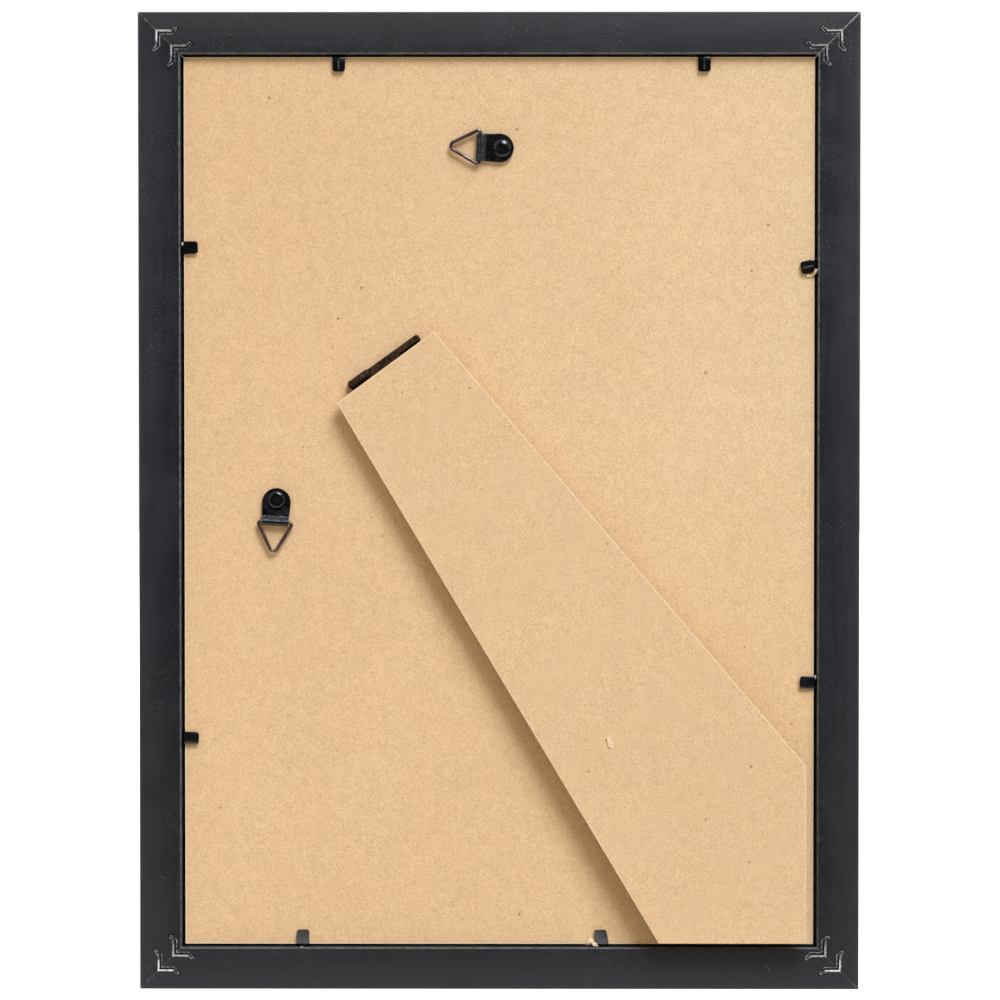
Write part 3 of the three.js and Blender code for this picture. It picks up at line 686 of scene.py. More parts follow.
# %% Strut
STRUT_BLANK = 300.0
STRUT_TOP_HALF = 20.2
STRUT_SHIFT = -0.6
STRUT_TOP_EDGE = 1.7
STRUT_SKEW = math.radians(0.7)
STRUT_TAPER = math.radians(4.9)
STRUT_FOOT = Vector((102.6, 16.1, HINGE.z))
STRUT_ARRIS = 0.16
STRUT_RIM = 0.40
FLAT_ABOVE = 0.97


def trim(bm, point, away):
    """Cut off what lies beyond a point in a direction."""
    everything = bm.verts[:] + bm.edges[:] + bm.faces[:]
    bmesh.ops.bisect_plane(bm, geom=everything, plane_co=point, plane_no=away, clear_outer=True)


bm = bmesh.new()
bmesh.ops.create_grid(bm, x_segments=1, y_segments=1, size=STRUT_BLANK)
foot = hinge_place.inverted() @ STRUT_FOOT
page_turn = hinge_place.to_3x3().inverted()
trim(bm, (0, -STRUT_TOP_EDGE, 0), (-math.sin(STRUT_SKEW), math.cos(STRUT_SKEW), 0))
for side in (-1, 1):
    rise = side * STRUT_TOP_HALF * math.tan(STRUT_SKEW)
    top_corner = (STRUT_SHIFT + side * STRUT_TOP_HALF, -STRUT_TOP_EDGE + rise, 0)
    trim(bm, top_corner, (side * math.cos(STRUT_TAPER), math.sin(STRUT_TAPER), 0))
trim(bm, foot, page_turn @ Vector((0, -1, 0)))
trim(bm, foot, page_turn @ Vector((1, 0, 0)))
thicken(bm, STRUT_T)
bmesh.ops.translate(bm, verts=bm.verts[:], vec=(0, 0, STRUT_LOW))
soften(bm, bm.edges[:], STRUT_ARRIS)
bm.normal_update()
for face in bm.faces:
    face.material_index = 0 if abs(face.normal.z) > FLAT_ABOVE else 1
outer_face = max(bm.faces, key=lambda face: face.calc_center_median().z)
# The inset rim gets the painted highlight finish.
for face in bmesh.ops.inset_region(bm, faces=[outer_face], thickness=STRUT_RIM)["faces"]:
    face.material_index = 2
bm.transform(strut_place)
strut_finishes = [strut_finish, sawn_edge, rim_highlight_fibre]
strut = new_piece("strut_board", bm, strut_finishes, "strut", crisp=12.0)
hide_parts("easel_strut")

# %% [markdown]
# ## A torn flake
# The sanded face of the strut has one blemish: a flake of fibre about four millimetres long has been torn
# up, and beside it a small dark pit is left. The pit is a spot in the strut's finish. The flake is a real
# curl: a grid is drawn in to an oval, bent up along one side and given a thickness, so that it casts its
# own small shadow.

# %% Flake on the strut
FLAKE = Vector((37.2, 83.5))
FLAKE_HALF_W = 1.0
FLAKE_HALF_L = 2.3
FLAKE_LEAN = 14
FLAKE_CURL = 0.30
FLAKE_CURL_POWER = 1.5
FLAKE_SINK = 0.05
FLAKE_SHAKE = 0.10
FLAKE_WAVES = Vector((3, 3, 0))
FLAKE_NOISE_FROM = Vector((0, 0, 0.5))
FLAKE_T = 0.16
FLAKE_COLUMNS = 8
FLAKE_ROWS = 14

bm = bmesh.new()
bmesh.ops.create_grid(bm, x_segments=FLAKE_COLUMNS, y_segments=FLAKE_ROWS, size=1.0)
for vert in bm.verts:
    shorter = math.sqrt(1 - 0.5 * vert.co.y**2)
    narrower = math.sqrt(1 - 0.5 * vert.co.x**2)
    vert.co.x, vert.co.y = vert.co.x * shorter, vert.co.y * narrower
    ragged = FLAKE_SHAKE * noise.noise(FLAKE_WAVES * vert.co + FLAKE_NOISE_FROM)
    lift = FLAKE_CURL * (0.5 - 0.5 * vert.co.x) ** FLAKE_CURL_POWER * (1 - 0.5 * vert.co.y**2)
    vert.co = Vector((FLAKE_HALF_W * vert.co.x + ragged, FLAKE_HALF_L * vert.co.y, lift - FLAKE_SINK))
thicken(bm, FLAKE_T)
bm.transform(strut_place @ placed(*on_strut(*FLAKE), FLAKE_LEAN - HINGE_ANGLE))
new_piece("strut_flake", bm, [flake_fibre], "strut")

# %% [markdown]
# ## V-nails and the marks of the driver
# At each corner two V-shaped steel nails are pressed across the mitre. The nails of the measured model
# are right as they are and only need a finish: the arms are painted white near the mitre, partly as
# scraped steel and partly as a painted highlight for the glint of bright steel, and the flared tips stay
# dark. The driver's foot has pushed the plastic up round each nail, and stretched black plastic turns
# white. Those lips are thin standing walls: a path of a few points per arm, subdivided and shaken, then
# extruded upwards and given a thickness. They are shaken by vector noise, which starts somewhere else in
# each session unless it gets a seed.

# %% Nail steel
NAIL_INSETS = (6.205, 11.19)
NAIL_BRIGHT_HALF = 0.29
NAIL_DARK = 0.12
NAIL_GREY = (0.05, 0.05, 0.053)
LEVEL_ARM_BRIGHT = 4.9
LEVEL_ARM_FADE = 0.5
UPRIGHT_ARM_BRIGHT = 3.4
UPRIGHT_ARM_FADE = 0.7
INNER_NAIL_FROM = 8.7
CORNERS = {
    "bottom_left": (-0.5 * OUTER_W, 0, 0, 0),
    "bottom_right": (0.5 * OUTER_W, 0, 0, 90),
    "top_right": (0.5 * OUTER_W, OUTER_H, 0, 180),
    "top_left": (-0.5 * OUTER_W, OUTER_H, 0, 270),
}

steel = Finish("nail_steel", roughness=0.55, specular=0.5, metallic=0.1)
nail_side, nail_end = edge_distances(steel, OUTER_W, OUTER_H)
along_level = steel.maths("SUBTRACT", nail_side, nail_end)
along_upright = steel.maths("SUBTRACT", nail_end, nail_side)
nail_inset = steel.maths("MINIMUM", nail_side, nail_end)
off_arm = steel.maths("MINIMUM", *[steel.apart(nail_inset, inset) for inset in NAIL_INSETS])
level_dark, level_bright = (LEVEL_ARM_BRIGHT + way * LEVEL_ARM_FADE for way in (1, -1))
upright_dark, upright_bright = (UPRIGHT_ARM_BRIGHT + way * UPRIGHT_ARM_FADE for way in (1, -1))
# Partly painted highlight: white paint stands in for the glint of bright steel on the scraped arms.
scraped_and_glint = steel.all_of(
    steel.step(off_arm, NAIL_BRIGHT_HALF, 0.5 * NAIL_BRIGHT_HALF, NAIL_DARK),
    steel.step(along_level, level_dark, level_bright),
    steel.step(along_upright, upright_dark, upright_bright, NAIL_DARK),
    steel.step(nail_inset, INNER_NAIL_FROM, INNER_NAIL_FROM + 1, 1.0, 0.5),
    steel.patches(900.0, 3.0, 0.28, 0.5, 0.45),
)
steel.paint(steel.mixed(scraped_and_glint, NAIL_GREY, WHITE))
steel.set("Roughness", steel.patches(700.0, 4.0, 0.3, 0.7, 0.62, 0.42))
steel.relief(steel.grain(2500.0), 0.03)
dress(steel, *[f"v_nail_{corner}_{row}" for corner in CORNERS for row in ("outer", "inner")])

# %% Whitened lips round the nails
NAIL_ARM = 5.1
NAIL_HOOK = 2.0
NAIL_HOOK_ANGLE = math.radians(38)
SLOT_HALF = 0.45
IMPRINT_INNER = 1.2
ELBOW_LEAD = 0.2
TIP_INNER = 0.5
TIP_OUTER = 0.4
LIP_CUTS = 7
LIP_H = 0.08
LIP_RISE = 1.8
LIP_RISE_WAVES = 2.3
LIP_T = 0.20
LIP_SHAKE = Vector((0.10, 0.10, 0))
LIP_WAVES = 1.7
LIP_FOOT = Vector((0, 0, BACK_Z - LIP_H))
SHAKE_SEED = 4
PLASTIC_GREY = (0.040, 0.040, 0.044)
STRESS_WHITE = (0.48, 0.48, 0.49)

plastic = Finish("stressed_plastic", roughness=0.6, specular=0.3)
whitened = plastic.patches(1100.0, 3.0, 0.36, 0.66)
plastic.paint(plastic.mixed(whitened, PLASTIC_GREY, STRESS_WHITE))
plastic.relief(plastic.grain(4000.0), 0.04)


def nail_mark(inset):
    """Points round one arm of a driver mark: along its inner side, round the flared tip and back."""
    elbow = Vector((inset + NAIL_ARM, inset, 0))
    tip_way = Vector((math.cos(NAIL_HOOK_ANGLE), -math.sin(NAIL_HOOK_ANGLE), 0))
    tip_side = Vector((-tip_way.y, tip_way.x, 0))
    tip = elbow + NAIL_HOOK * tip_way
    return [
        Vector((inset + IMPRINT_INNER, inset + IMPRINT_INNER, 0)),
        elbow + Vector((ELBOW_LEAD, IMPRINT_INNER, 0)),
        tip + TIP_INNER * tip_side,
        tip - TIP_OUTER * tip_side,
        elbow + Vector((0, -SLOT_HALF, 0)),
        Vector((inset - SLOT_HALF, inset - SLOT_HALF, 0)),
    ]


def add_lip(bm, points):
    """A ragged standing lip along the points."""
    edges = drawn(bm, points)
    cut = bmesh.ops.subdivide_edges(bm, edges=edges, cuts=LIP_CUTS)
    path = list(dict.fromkeys(edges + moved_edges(cut["geom_split"])))
    for vert in {vert for edge in path for vert in edge.verts}:
        vert.co += LIP_SHAKE * noise.noise_vector(LIP_WAVES * vert.co) + LIP_FOOT
    raised = bmesh.ops.extrude_edge_only(bm, edges=path)["geom"]
    for vert in moved_verts(raised):
        vert.co.z += LIP_H * (LIP_RISE + noise.noise(LIP_RISE_WAVES * vert.co))


noise.seed_set(SHAKE_SEED)
for corner, corner_place in CORNERS.items():
    bm = bmesh.new()
    for inset in NAIL_INSETS:
        mark = nail_mark(inset)
        add_lip(bm, mark)
        add_lip(bm, [Vector((point.y, point.x, 0)) for point in mark])
    bmesh.ops.remove_doubles(bm, verts=bm.verts[:], dist=WELD)
    shell(bm, LIP_T)
    bm.transform(placed(*corner_place))
    new_piece(f"driver_mark_{corner}", bm, [plastic], "frame_body")

# %% [markdown]
# ## Flexible tabs
# Eight black steel strips were shot into the walls of the rebate. Each is arched across its width like a
# measuring tape, has a rounded tip and bends level soon after its slot. In the measured model a strip is
# cut in two at the bend, because a hinge needs two bodies. Here it is one strip again: a grid is shaped
# into the arch and the tip and gets a thickness.
# One strip at the bottom leans sideways, although its tip is level. Three of them carry a painted
# highlight along the crown, so each point also keeps how near the crown it lies.

# %% Black enamel
CROWN = "crown"
ENAMEL_BLACK = (0.0015, 0.0015, 0.0016)
ENAMEL_DUST = (0.07, 0.065, 0.06)
CROWN_HIGHLIGHT_GREY = (0.13, 0.135, 0.15)


def black_enamel(name, specular, glossy, dull, smudge):
    """Glossy black enamel with smudges, dust and a faint unevenness."""
    finish = Finish(name, roughness=dull, specular=specular)
    wear = finish.grain(420.0, 4.0)
    dust = finish.specks(700.0, 0.16, 0.22)
    tone = finish.mixed(finish.step(wear, 0.35, 0.7), ENAMEL_BLACK, smudge)
    finish.paint(finish.mixed(finish.all_of(dust, 0.3), tone, ENAMEL_DUST))
    finish.set("Roughness", finish.step(wear, 0.3, 0.75, glossy, dull))
    finish.relief(finish.blended((wear, 0.7), (finish.grain(2600.0), 0.3)), 0.03)
    print(name, "has", len(finish.nodes), "nodes")
    return finish


tab_enamel = black_enamel("tab_enamel", 0.95, glossy=0.16, dull=0.28, smudge=(0.004, 0.0038, 0.0036))
# Painted highlight: a pale grey line along the crown of three tabs, in patches.
crown = tab_enamel.add("Attribute", attribute_name=CROWN)["Fac"]
uneven = tab_enamel.patches(800.0, 3.0, 0.35, 0.6, 0.15, 0.75)
crown_highlight = tab_enamel.all_of(tab_enamel.step(crown, 0.955, 1.0), uneven)
tab_enamel.paint(tab_enamel.mixed(crown_highlight, tab_enamel.colour, CROWN_HIGHLIGHT_GREY))

# %% Tab strips
WALLS = {
    "bottom": (0, 0, 0, 0),
    "right": (0.5 * OUTER_W, MIDDLE_Y, 0, 90),
    "top": (0, OUTER_H, 0, 180),
    "left": (-0.5 * OUTER_W, MIDDLE_Y, 0, 270),
}
TABS = {
    "top_left": ("top", 53.6, 0, 0),
    "top_right": ("top", -68.5, 1, 0),
    "left_upper": ("left", -85.0, 2, 0),
    "left_lower": ("left", 79.3, -1, 0),
    "right_upper": ("right", 79.3, 12, 0),
    "right_lower": ("right", -60.7, -2, 0),
    "bottom_left": ("bottom", -65.9, 0, 0),
    "bottom_right": ("bottom", 34.8, 2, -0.14),
}
CROWN_HIGHLIGHT_TABS = ("top_left", "top_right", "right_upper")
CROWN_HIGHLIGHT_FROM = 0.35
CROWN_HIGHLIGHT_TO = 0.92
TAB_ROOT_LIFT = 0.05
TAB_TIP_LIFT = 0.70
TAB_RISE_POWER = 6
TAB_T = 0.45
TAB_CROWN = 0.24
TAB_HALF = 2.15
TAB_TIP_HALF = 2.1
TAB_TIP_R = 0.75
TAB_DRIVEN = 8.0
TAB_REACH = 5.6
TAB_ARRIS = 0.06
TAB_COLUMNS = 10
TAB_ROWS = 26
HIDDEN_SHARE = 0.16
POINT_SHARE = 0.25


def tab_point(across, along, shear):
    """Where a grid point goes: across from -1 to 1, along from 0 at the driven point to 1 at the tip."""
    if along < HIDDEN_SHARE:
        share = along / HIDDEN_SHARE
        width = TAB_HALF * (POINT_SHARE + (1 - POINT_SHARE) * share)
        return Vector((across * width, -TAB_DRIVEN * (1 - share), TAB_ROOT_LIFT + 0.5 * TAB_CROWN))
    share = (along - HIDDEN_SHARE) / (1 - HIDDEN_SHARE)
    half = TAB_HALF + (TAB_TIP_HALF - TAB_HALF) * share
    x = across * half
    inside = max(0.0, abs(x) - (half - TAB_TIP_R))
    shorter = TAB_TIP_R - math.sqrt(TAB_TIP_R**2 - inside**2)
    y = share * (TAB_REACH - shorter)
    lift = TAB_TIP_LIFT - (TAB_TIP_LIFT - TAB_ROOT_LIFT) * (1 - y / TAB_REACH) ** TAB_RISE_POWER
    return Vector((x + shear * y, y, lift + TAB_CROWN * (1 - across * across)))


for tab, (wall, along_wall, slant, shear) in TABS.items():
    place = placed(*WALLS[wall]) @ placed(along_wall, LAND_W, BOARD_Z, slant)
    bm = bmesh.new()
    bmesh.ops.create_grid(bm, x_segments=TAB_COLUMNS, y_segments=TAB_ROWS, size=0.5)
    near_crown = bm.verts.layers.float.new(CROWN)
    for vert in bm.verts:
        across, along = 2 * vert.co.x, vert.co.y + 0.5
        # Only the tabs with the painted crown highlight keep how near the crown a point lies.
        if tab in CROWN_HIGHLIGHT_TABS and CROWN_HIGHLIGHT_FROM < along < CROWN_HIGHLIGHT_TO:
            vert[near_crown] = 1 - across * across
        vert.co = tab_point(across, along, shear)
    thicken(bm, TAB_T)
    soften(bm, sharp_edges(bm), TAB_ARRIS)
    bm.transform(place)
    strip = new_piece(f"tab_{tab}", bm, [tab_enamel])
    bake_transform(strip)
    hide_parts(f"tab_point_{tab}", f"tab_tongue_{tab}")

# %% [markdown]
# ## Damage where the tabs went in
# Driving the strips did some harm. Beside the upper right one a sliver of the board has split off, and
# beside the leaning one at the bottom the board's edge is torn up into two pale lumps. Three slots have
# a white burr. The sliver is a bent standing strip, and the lumps and burrs are small balls that are
# squashed and shaken with noise until nothing round is left.

# %% Sliver, lumps and burrs
SLIVER = (
    (102.9, 238.9, -0.05),
    (104.4, 239.0, 0.05),
    (105.4, 239.4, 0.40),
    (106.0, 240.3, 1.00),
    (106.4, 241.3, 1.50),
)
SLIVER_H = 0.60
SLIVER_T = 0.85
SLIVER_CUTS = 3
SLIVER_SHAKE = Vector((0.16, 0.16, 0.08))
SLIVER_WAVES = 2.1
BALL_WAVES = 2.2
LUMP_LIFT = 0.2
LUMP_SHAKE = 0.55
LUMPS = {
    "torn_lump_left": ((30.6, 15.6), (1.45, 0.95, 0.70), 28),
    "torn_lump_right": ((32.3, 14.6), (1.40, 1.15, 0.95), -35),
}
BURR_SHAKE = 0.45
BURRS = {
    "slot_burr_left": ((-105.9, 249.9, BACK_Z - 0.75), (0.35, 0.6, 0.22)),
    "slot_burr_right": ((105.9, 104.9, BACK_Z - 0.75), (0.35, 0.6, 0.22)),
    "slot_burr_bottom": ((-66.3, 13.9, BACK_Z - 0.55), (0.8, 0.3, 0.25)),
}

bm = bmesh.new()
edges = drawn(bm, [(x, y, BOARD_Z + lift) for x, y, lift in SLIVER])
raised = bmesh.ops.extrude_edge_only(bm, edges=edges)["geom"]
for vert in moved_verts(raised):
    vert.co.z += SLIVER_H * (1.0 + 0.5 * noise.noise(vert.co))
shell(bm, SLIVER_T)
bmesh.ops.subdivide_edges(bm, edges=bm.edges[:], cuts=SLIVER_CUTS, use_grid_fill=True)
for vert in bm.verts:
    vert.co += SLIVER_SHAKE * noise.noise_vector(SLIVER_WAVES * vert.co)
new_piece("torn_sliver", bm, [torn_fibre], "frame_body")


def ragged_ball(middle, size, turn, shake_by):
    """A small ball, squashed, turned and shaken."""
    bm = bmesh.new()
    bmesh.ops.create_icosphere(bm, subdivisions=3, radius=1.0)
    for vert in bm.verts:
        vert.co *= 1 + shake_by * noise.noise(BALL_WAVES * vert.co + Vector(middle))
        vert.co *= Vector(size)
    bm.transform(placed(*middle, turn))
    return bm


for name, ((x, y), size, turn) in LUMPS.items():
    bm = ragged_ball((x, y, BOARD_Z + LUMP_LIFT), size, turn, LUMP_SHAKE)
    new_piece(name, bm, [torn_fibre], "frame_body")
for name, (middle, size) in BURRS.items():
    bm = ragged_ball(middle, size, 0, BURR_SHAKE)
    new_piece(name, bm, [plastic], "frame_body")

# %% [markdown]
# ## Hanger plates
# A hanger is one strip of steel folded round the wire of its ring, so that two layers lie on each other
# with a round end at the rivet. The fold is drawn from the side as a line: the lower layer, a spin round
# the wire and a slope down to the upper layer. The line is extruded sideways in columns that crowd towards
# the edges, so the ends can be pushed into a half circle, and then it gets its thickness and soft edges.
# On a band of the slope by the fold the enamel is painted bluish grey as a painted reflection, with paler
# painted highlights along both sides of the band, so those faces get finishes of their own.

# %% Enamel of the plates
plate_enamel = black_enamel("plate_enamel", 0.5, glossy=0.10, dull=0.22, smudge=(0.011, 0.0105, 0.012))


def painted_band_enamel(name, dark, pale):
    """Pale enamel for the painted reflection on the fold's slope."""
    finish = Finish(name, roughness=0.45, specular=0.12)
    return two_tone(finish, finish.grain(1300.0, 4.0), 0.38, 0.66, dark, pale, 0.05)


# Painted reflection in the middle of the band, painted highlights along its sides.
band_reflection_enamel = painted_band_enamel("band_reflection_enamel", (0.009, 0.009, 0.012), (0.036, 0.037, 0.046))
band_edge_highlight_enamel = painted_band_enamel("band_edge_highlight_enamel", (0.014, 0.014, 0.017), (0.14, 0.14, 0.15))

# %% Folded plates
HANGERS = {
    "top": (1.0, 281.9, BOARD_Z, 177.5),
    "side": (-74.6, 164.3, BOARD_Z, -93.6),
}
PLATE_T = 0.45
PLATE_LIFT = 0.25
PLATE_TOP = 1.45
PLATE_HALF = 4.8
PLATE_END = 3.9
PLATE_END_BAND = 0.01
PLATE_COLUMNS = 18
PLATE_ARRIS = 0.13
FOLD_HALF = 4.44
FOLD_REACH = 7.5
FOLD_TURN = math.radians(190)
FOLD_STEPS = 16
WIRE_Z = 1.57
ROLL_R = 1.15
ROLL_RISE = 2.4
SLOPE_TO = 2.15
SLOPE_STEPS = 9
REFLECTION_BANDS = {"top": (0.35, -1.05), "side": (-0.40, -2.15)}
BAND_EDGE_SHARE = 0.24
UPWARD = 0.3


def folded_line(bm):
    """The outer side of the folded strip, seen from the side."""
    low_end = (-PLATE_END, 0, PLATE_LIFT)
    rise_start = (FOLD_REACH - ROLL_RISE, 0, PLATE_LIFT)
    fold_start = drawn(bm, [low_end, rise_start, (FOLD_REACH, 0, WIRE_Z - ROLL_R)])[-1].verts[1]
    turned = bmesh.ops.spin(
        bm,
        geom=[fold_start],
        cent=(FOLD_REACH, 0, WIRE_Z),
        axis=(0, -1, 0),
        angle=FOLD_TURN,
        steps=FOLD_STEPS,
        use_merge=False,
    )
    last = moved_verts(turned["geom_last"])[0]
    slope_start = last.co.copy()
    slope_end = Vector((FOLD_REACH - SLOPE_TO, 0, PLATE_TOP))
    stops = [slope_start.lerp(slope_end, (i + 1) / SLOPE_STEPS) for i in range(SLOPE_STEPS)]
    for stop in stops + [Vector((-PLATE_END, 0, PLATE_TOP))]:
        following = bm.verts.new(stop)
        bm.edges.new((last, following))
        last = following


for hanger, hanger_place in HANGERS.items():
    bm = bmesh.new()
    folded_line(bm)
    edges = bm.edges[:]
    turns = [math.pi * (i / PLATE_COLUMNS - 0.5) for i in range(PLATE_COLUMNS + 1)]
    columns = [PLATE_HALF * math.sin(turn) for turn in turns]
    bmesh.ops.translate(bm, verts=bm.verts[:], vec=(0, columns[0], 0))
    for near, far in zip(columns, columns[1:]):
        made = bmesh.ops.extrude_edge_only(bm, edges=edges)["geom"]
        edges = moved_edges(made)
        bmesh.ops.translate(bm, verts=moved_verts(made), vec=(0, far - near, 0))
    round_middle = PLATE_HALF - PLATE_END
    for vert in bm.verts:
        if vert.co.x < -PLATE_END + PLATE_END_BAND:
            vert.co.x = round_middle - math.sqrt(max(0.0, PLATE_HALF**2 - vert.co.y**2))
        taper = max(0.0, vert.co.x - round_middle) / (FOLD_REACH - round_middle)
        vert.co.y *= 1 + (FOLD_HALF / PLATE_HALF - 1) * min(1.0, taper)
    shell(bm, PLATE_T)
    soften(bm, sharp_edges(bm), PLATE_ARRIS)
    bm.normal_update()
    # Faces on the upward slope by the fold get the painted reflection and highlight finishes.
    band_from, band_to = REFLECTION_BANDS[hanger]
    for face in bm.faces:
        middle = face.calc_center_median()
        share = (FOLD_REACH + band_from - middle.x) / (band_from - band_to)
        if middle.z > PLATE_TOP and face.normal.z > UPWARD and 0 < share < 1:
            face.material_index = 1 if BAND_EDGE_SHARE < share < 1 - BAND_EDGE_SHARE else 2
    bm.transform(placed(*hanger_place))
    plate_finishes = [plate_enamel, band_reflection_enamel, band_edge_highlight_enamel]
    plate = new_piece(f"{hanger}_plate", bm, plate_finishes, f"{hanger}_hanger")
    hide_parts(f"{hanger}_hanger_plate")

# %% [markdown]
# ## Rivets
# Each plate turns on a tubular rivet. The head of the upper one is a plain low dome. The side one has a rim
# and a dimple where the tool sat. Both are turned shapes, so half of the outline is enough, and a full
# spin closes it.

# %% Turned rivets
RIVET_R = 1.5
RIVET_PLAY = 0.15
RIVET_UNDER = PLATE_TOP + RIVET_PLAY
RIVET_HEAD_R = 2.9
RIVET_HEAD_H = 1.1
RIVET_TOP = RIVET_UNDER + RIVET_HEAD_H
RIVET_DIMPLE_R = 1.4
RIVET_DIMPLE = 0.24
RIVET_DOME_H = 0.95
RIVET_DOME_POWER = 2.6
RIVET_DOME_STEPS = 9
RIVET_TAIL = -2.3
RIVET_TAIL_R = 2.4
RIVET_SIDES = 64
RIVET_SHANK = (
    (0, RIVET_TAIL),
    (RIVET_TAIL_R, RIVET_TAIL),
    (RIVET_R, RIVET_TAIL + 0.9),
    (RIVET_R, RIVET_UNDER),
    (RIVET_HEAD_R - 0.15, RIVET_UNDER),
)
RIMMED_HEAD = (
    (RIVET_HEAD_R, RIVET_UNDER + 0.15),
    (RIVET_HEAD_R - 0.03, RIVET_UNDER + 0.35),
    (RIVET_HEAD_R - 0.18, RIVET_TOP - 0.46),
    (RIVET_HEAD_R - 0.45, RIVET_TOP - 0.24),
    (RIVET_HEAD_R - 0.80, RIVET_TOP - 0.08),
    (RIVET_HEAD_R - 1.10, RIVET_TOP),
    (RIVET_DIMPLE_R, RIVET_TOP - 0.2 * RIVET_DIMPLE),
    (RIVET_DIMPLE_R - 0.3, RIVET_TOP - 0.7 * RIVET_DIMPLE),
    (0.6, RIVET_TOP - RIVET_DIMPLE),
    (0, RIVET_TOP - RIVET_DIMPLE),
)


def dome_point(share):
    """A point of the plain head, at a share of its radius. The head is flattest in the middle."""
    return RIVET_HEAD_R * share, RIVET_TOP - RIVET_DOME_H * share**RIVET_DOME_POWER


DOMED_HEAD = [dome_point(1 - i / RIVET_DOME_STEPS) for i in range(RIVET_DOME_STEPS + 1)]
RIVET_HEADS = {"top": DOMED_HEAD, "side": RIMMED_HEAD}

for hanger, hanger_place in HANGERS.items():
    bm = bmesh.new()
    half = drawn(bm, [(radius, 0, height) for radius, height in (*RIVET_SHANK, *RIVET_HEADS[hanger])])
    bmesh.ops.spin(
        bm, geom=half, cent=(0, 0, 0), axis=(0, 0, 1), angle=2 * math.pi, steps=RIVET_SIDES, use_merge=True
    )
    bmesh.ops.remove_doubles(bm, verts=bm.verts[:], dist=WELD)
    outward(bm)
    bm.transform(placed(*hanger_place))
    rivet = new_piece(f"{hanger}_rivet", bm, [plate_enamel], "frame_body", crisp=60.0)
    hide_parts(f"{hanger}_hanger_rivet")

# %% [markdown]
# ## Wire rings
# The rings are round wire bent to a triangle, plated a dark bronze. A circle travels along the bends: it
# is extruded down the straights and spun round each bend. Half a ring is enough, and a mirror gives the
# other half. The butt joint of the wire hides inside the fold.

# %% Bronzed wire
BRONZE_DARK = (0.11, 0.072, 0.057)
BRONZE_PALE = (0.25, 0.18, 0.155)

bronze = Finish("bronzed_wire", roughness=0.3, specular=0.5, metallic=1.0)
bronze_tone = bronze.grain(500.0, 4.0)
bronze.paint(bronze.mixed(bronze.step(bronze_tone, 0.3, 0.7), BRONZE_DARK, BRONZE_PALE))
bronze.set("Roughness", bronze.step(bronze_tone, 0.25, 0.75, 0.44, 0.30))
bronze.relief(bronze.grain(3000.0, 3.0), 0.02)
print(bronze.material.name, "has", len(bronze.nodes), "nodes")

# %% Bent rings
WIRE_R = 0.62
WIRE_SIDES = 20
RING_BASE_HALF = 6.0
RING_H = 11.2
RING_BASE_R = 0.75
RING_APEX_R = 1.4
BEND_STEPS = 12
MIRROR_WELD = 0.01


def push(bm, loop, way):
    """Extrude an open tube's end loop along a vector."""
    made = bmesh.ops.extrude_edge_only(bm, edges=loop)["geom"]
    bmesh.ops.translate(bm, verts=moved_verts(made), vec=way)
    return moved_edges(made)


def bend(bm, loop, centre, angle):
    """Spin an open tube's end loop clockwise about a centre in the plane of the ring."""
    made = bmesh.ops.spin(
        bm, geom=loop, cent=centre, axis=(0, 0, -1), angle=angle, steps=BEND_STEPS, use_merge=False
    )
    return moved_edges(made["geom_last"])


for hanger, hanger_place in HANGERS.items():
    leg = Vector((RING_H, -RING_BASE_HALF, 0))
    base_turn = math.pi / 2 - math.atan2(leg.y, leg.x)
    apex_turn = math.pi - base_turn
    base_cut = RING_BASE_R * math.tan(base_turn / 2)
    base_run = RING_BASE_HALF - base_cut
    leg_run = leg.length - base_cut - RING_APEX_R * math.tan(apex_turn)
    apex_centre = Vector((RING_H - RING_APEX_R / math.cos(apex_turn), 0, 0))
    bm = bmesh.new()
    stand = Matrix.Rotation(math.radians(90), 4, "X")
    bmesh.ops.create_circle(bm, segments=WIRE_SIDES, radius=WIRE_R, cap_ends=False, matrix=stand)
    loop = push(bm, bm.edges[:], (0, base_run, 0))
    loop = bend(bm, loop, (RING_BASE_R, base_run, 0), base_turn)
    loop = push(bm, loop, leg_run * leg.normalized())
    bend(bm, loop, apex_centre, apex_turn)
    bmesh.ops.mirror(bm, geom=bm.verts[:] + bm.edges[:] + bm.faces[:], axis="Y", merge_dist=MIRROR_WELD)
    bmesh.ops.remove_doubles(bm, verts=bm.verts[:], dist=2 * WELD)
    outward(bm)
    bm.transform(placed(*hanger_place) @ Matrix.Translation((FOLD_REACH, 0, WIRE_Z)))
    ring = new_piece(f"{hanger}_wire_ring", bm, [bronze], f"{hanger}_ring")
    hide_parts(f"{hanger}_hanger_ring")

# %% [markdown]
# ## Hinge
# The hinge is stamped from thin steel, rolled round a pin and painted in a hurry: the paint is rough, with
# grit in it and brown spots where it is thin. The rolled knuckles of the measured model are right, so they
# only get that finish. Paint also bridges the slits between the knuckles, as two thin discs. At the left
# end the strip's roll overlaps itself and looks fatter. That extra turn is an edge along the barrel, spun
# part of the way round it and given the thickness of the steel.

# %% Rough hinge paint
PAINT_BLACK = (0.006, 0.003, 0.0015)
PAINT_BROWN = (0.060, 0.032, 0.017)
THIN_BROWN = (0.090, 0.042, 0.018)
GRIT_BROWN = (0.19, 0.14, 0.10)

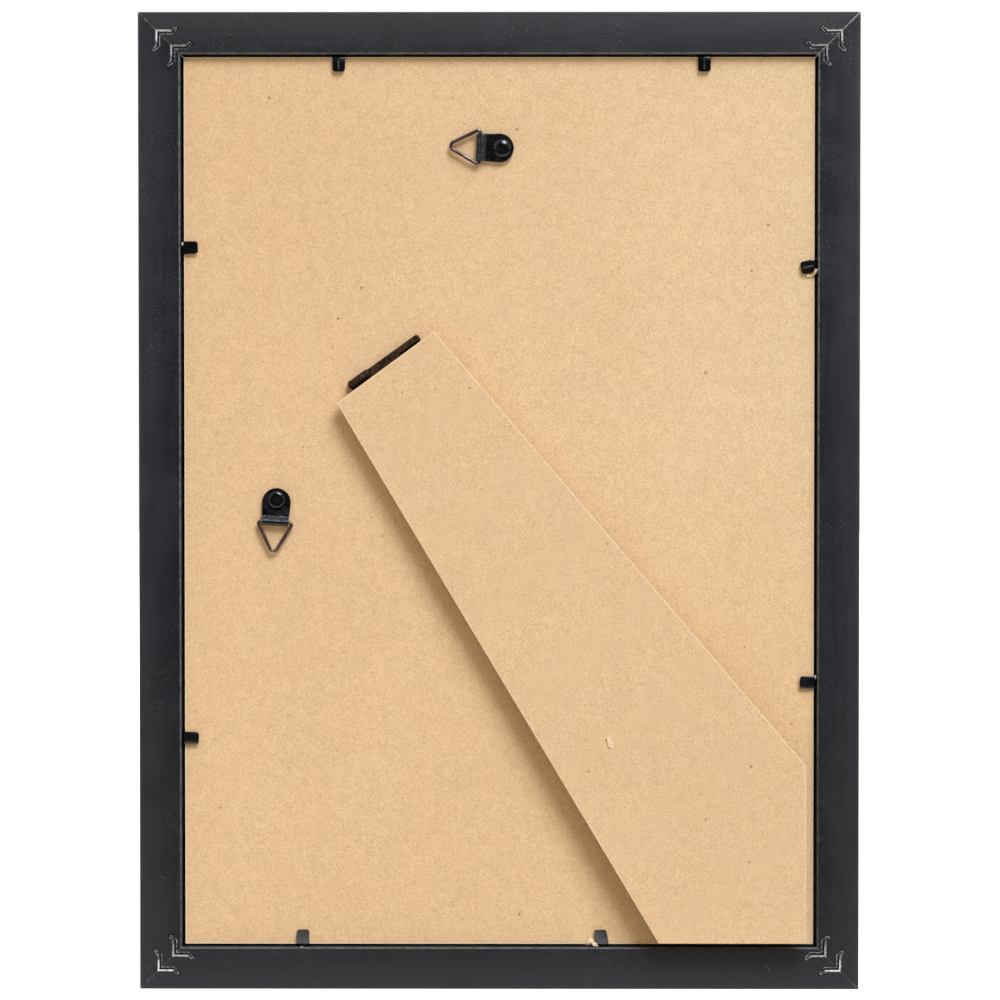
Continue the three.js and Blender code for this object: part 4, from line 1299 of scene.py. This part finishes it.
paint = Finish("rough_hinge_paint", roughness=0.6, specular=0.12)
grit = paint.grain(1100.0, 4.0)
paint_tone = paint.mixed(paint.step(grit, 0.35, 0.68), PAINT_BLACK, PAINT_BROWN)
paint_tone = paint.mixed(paint.patches(300.0, 3.0, 0.52, 0.68, 0.0, 0.6), paint_tone, THIN_BROWN)
paint.paint(paint.mixed(paint.all_of(paint.specks(1000.0, 0.26, 0.16), 0.55), paint_tone, GRIT_BROWN))
paint.relief(grit, 0.14)
dress(paint, "hinge_board_leaf", "hinge_strut_leaf", "hinge_pin")

# %% Paint in the slits
SLIT_MIDDLE = 6.125
SLIT_FILL = 0.13
DISC_PLAY = 0.03
DISC_R = BARREL_R - DISC_PLAY
DISC_SIDES = 48

for side, way in (("left", -1), ("right", 1)):
    bm = bmesh.new()
    bmesh.ops.create_cone(
        bm,
        cap_ends=True,
        segments=DISC_SIDES,
        radius1=DISC_R,
        radius2=DISC_R,
        depth=SLIT_FILL,
        matrix=Matrix.Translation((way * SLIT_MIDDLE, 0, 0)) @ Matrix.Rotation(math.radians(90), 4, "Y"),
    )
    bm.transform(hinge_place)
    new_piece(f"hinge_paint_{side}", bm, [paint], "frame_body")

# %% Overlapping end of the roll
CURL_FROM = -13.95
CURL_TO = -6.4
CURL_START = math.radians(-25)
CURL_TURN = math.radians(130)
CURL_STEPS = 14
CURL_T = 0.34
CURL_ARRIS = 0.08

bm = bmesh.new()
lip = drawn(bm, [(x, BARREL_R + CURL_T, 0) for x in (CURL_FROM, CURL_TO)])
bmesh.ops.rotate(bm, verts=bm.verts[:], cent=(0, 0, 0), matrix=Matrix.Rotation(CURL_START, 3, "X"))
bmesh.ops.spin(
    bm, geom=lip, cent=(0, 0, 0), axis=(1, 0, 0), angle=CURL_TURN, steps=CURL_STEPS, use_merge=False
)
shell(bm, CURL_T)
soften(bm, sharp_edges(bm), CURL_ARRIS)
bm.transform(hinge_place)
new_piece("hinge_overlap", bm, [paint], "frame_body")

# %% [markdown]
# ## Glazing and the sheet on show
# The front has a pane of clear glass with a sheet of heavy cream paper behind it. The sheet is left blank.
# Glass is a transmitting surface with a slight unevenness, and the paper has soft clouds and a tooth.
# A pane would also stop the lamps, because their light is only traced straight, so it is clear for the
# rays that carry light to the paper.

# %% Glass and paper
GLASS_TINT = (0.985, 0.995, 0.99)
GLASS_IOR = 1.5
PAPER_LOW = (0.78, 0.735, 0.635)
PAPER_HIGH = (0.83, 0.79, 0.69)

glass = Finish("clear_glass", roughness=0.02, specular=0.5)
glass.set("Transmission Weight", 1.0)
glass.set("IOR", GLASS_IOR)
glass.paint(GLASS_TINT)
glass.relief(glass.grain(14.0, 1.0), 0.04)
rays = glass.add("LightPath")
carries_light = glass.maths("MAXIMUM", rays["Is Shadow Ray"], rays["Is Diffuse Ray"])
clear = glass.add("BsdfTransparent")["BSDF"]
pane = glass.add("MixShader", {0: carries_light, 1: glass.shader.outputs["BSDF"], 2: clear})["Shader"]
glass.feed(glass.nodes["Material Output"].inputs["Surface"], pane)
dress(glass, "glazing")

paper = Finish("cream_paper", roughness=0.8, specular=0.2)
tooth = paper.grain(1400.0, 3.0)
paper_tone = paper.blended((tooth, 0.5), (paper.grain(90.0, 3.0), 0.5))
paper.paint(paper.mixed(paper.step(paper_tone, 0.3, 0.7), PAPER_LOW, PAPER_HIGH))
paper.relief(tooth, 0.03)
dress(paper, "certificate_sheet")
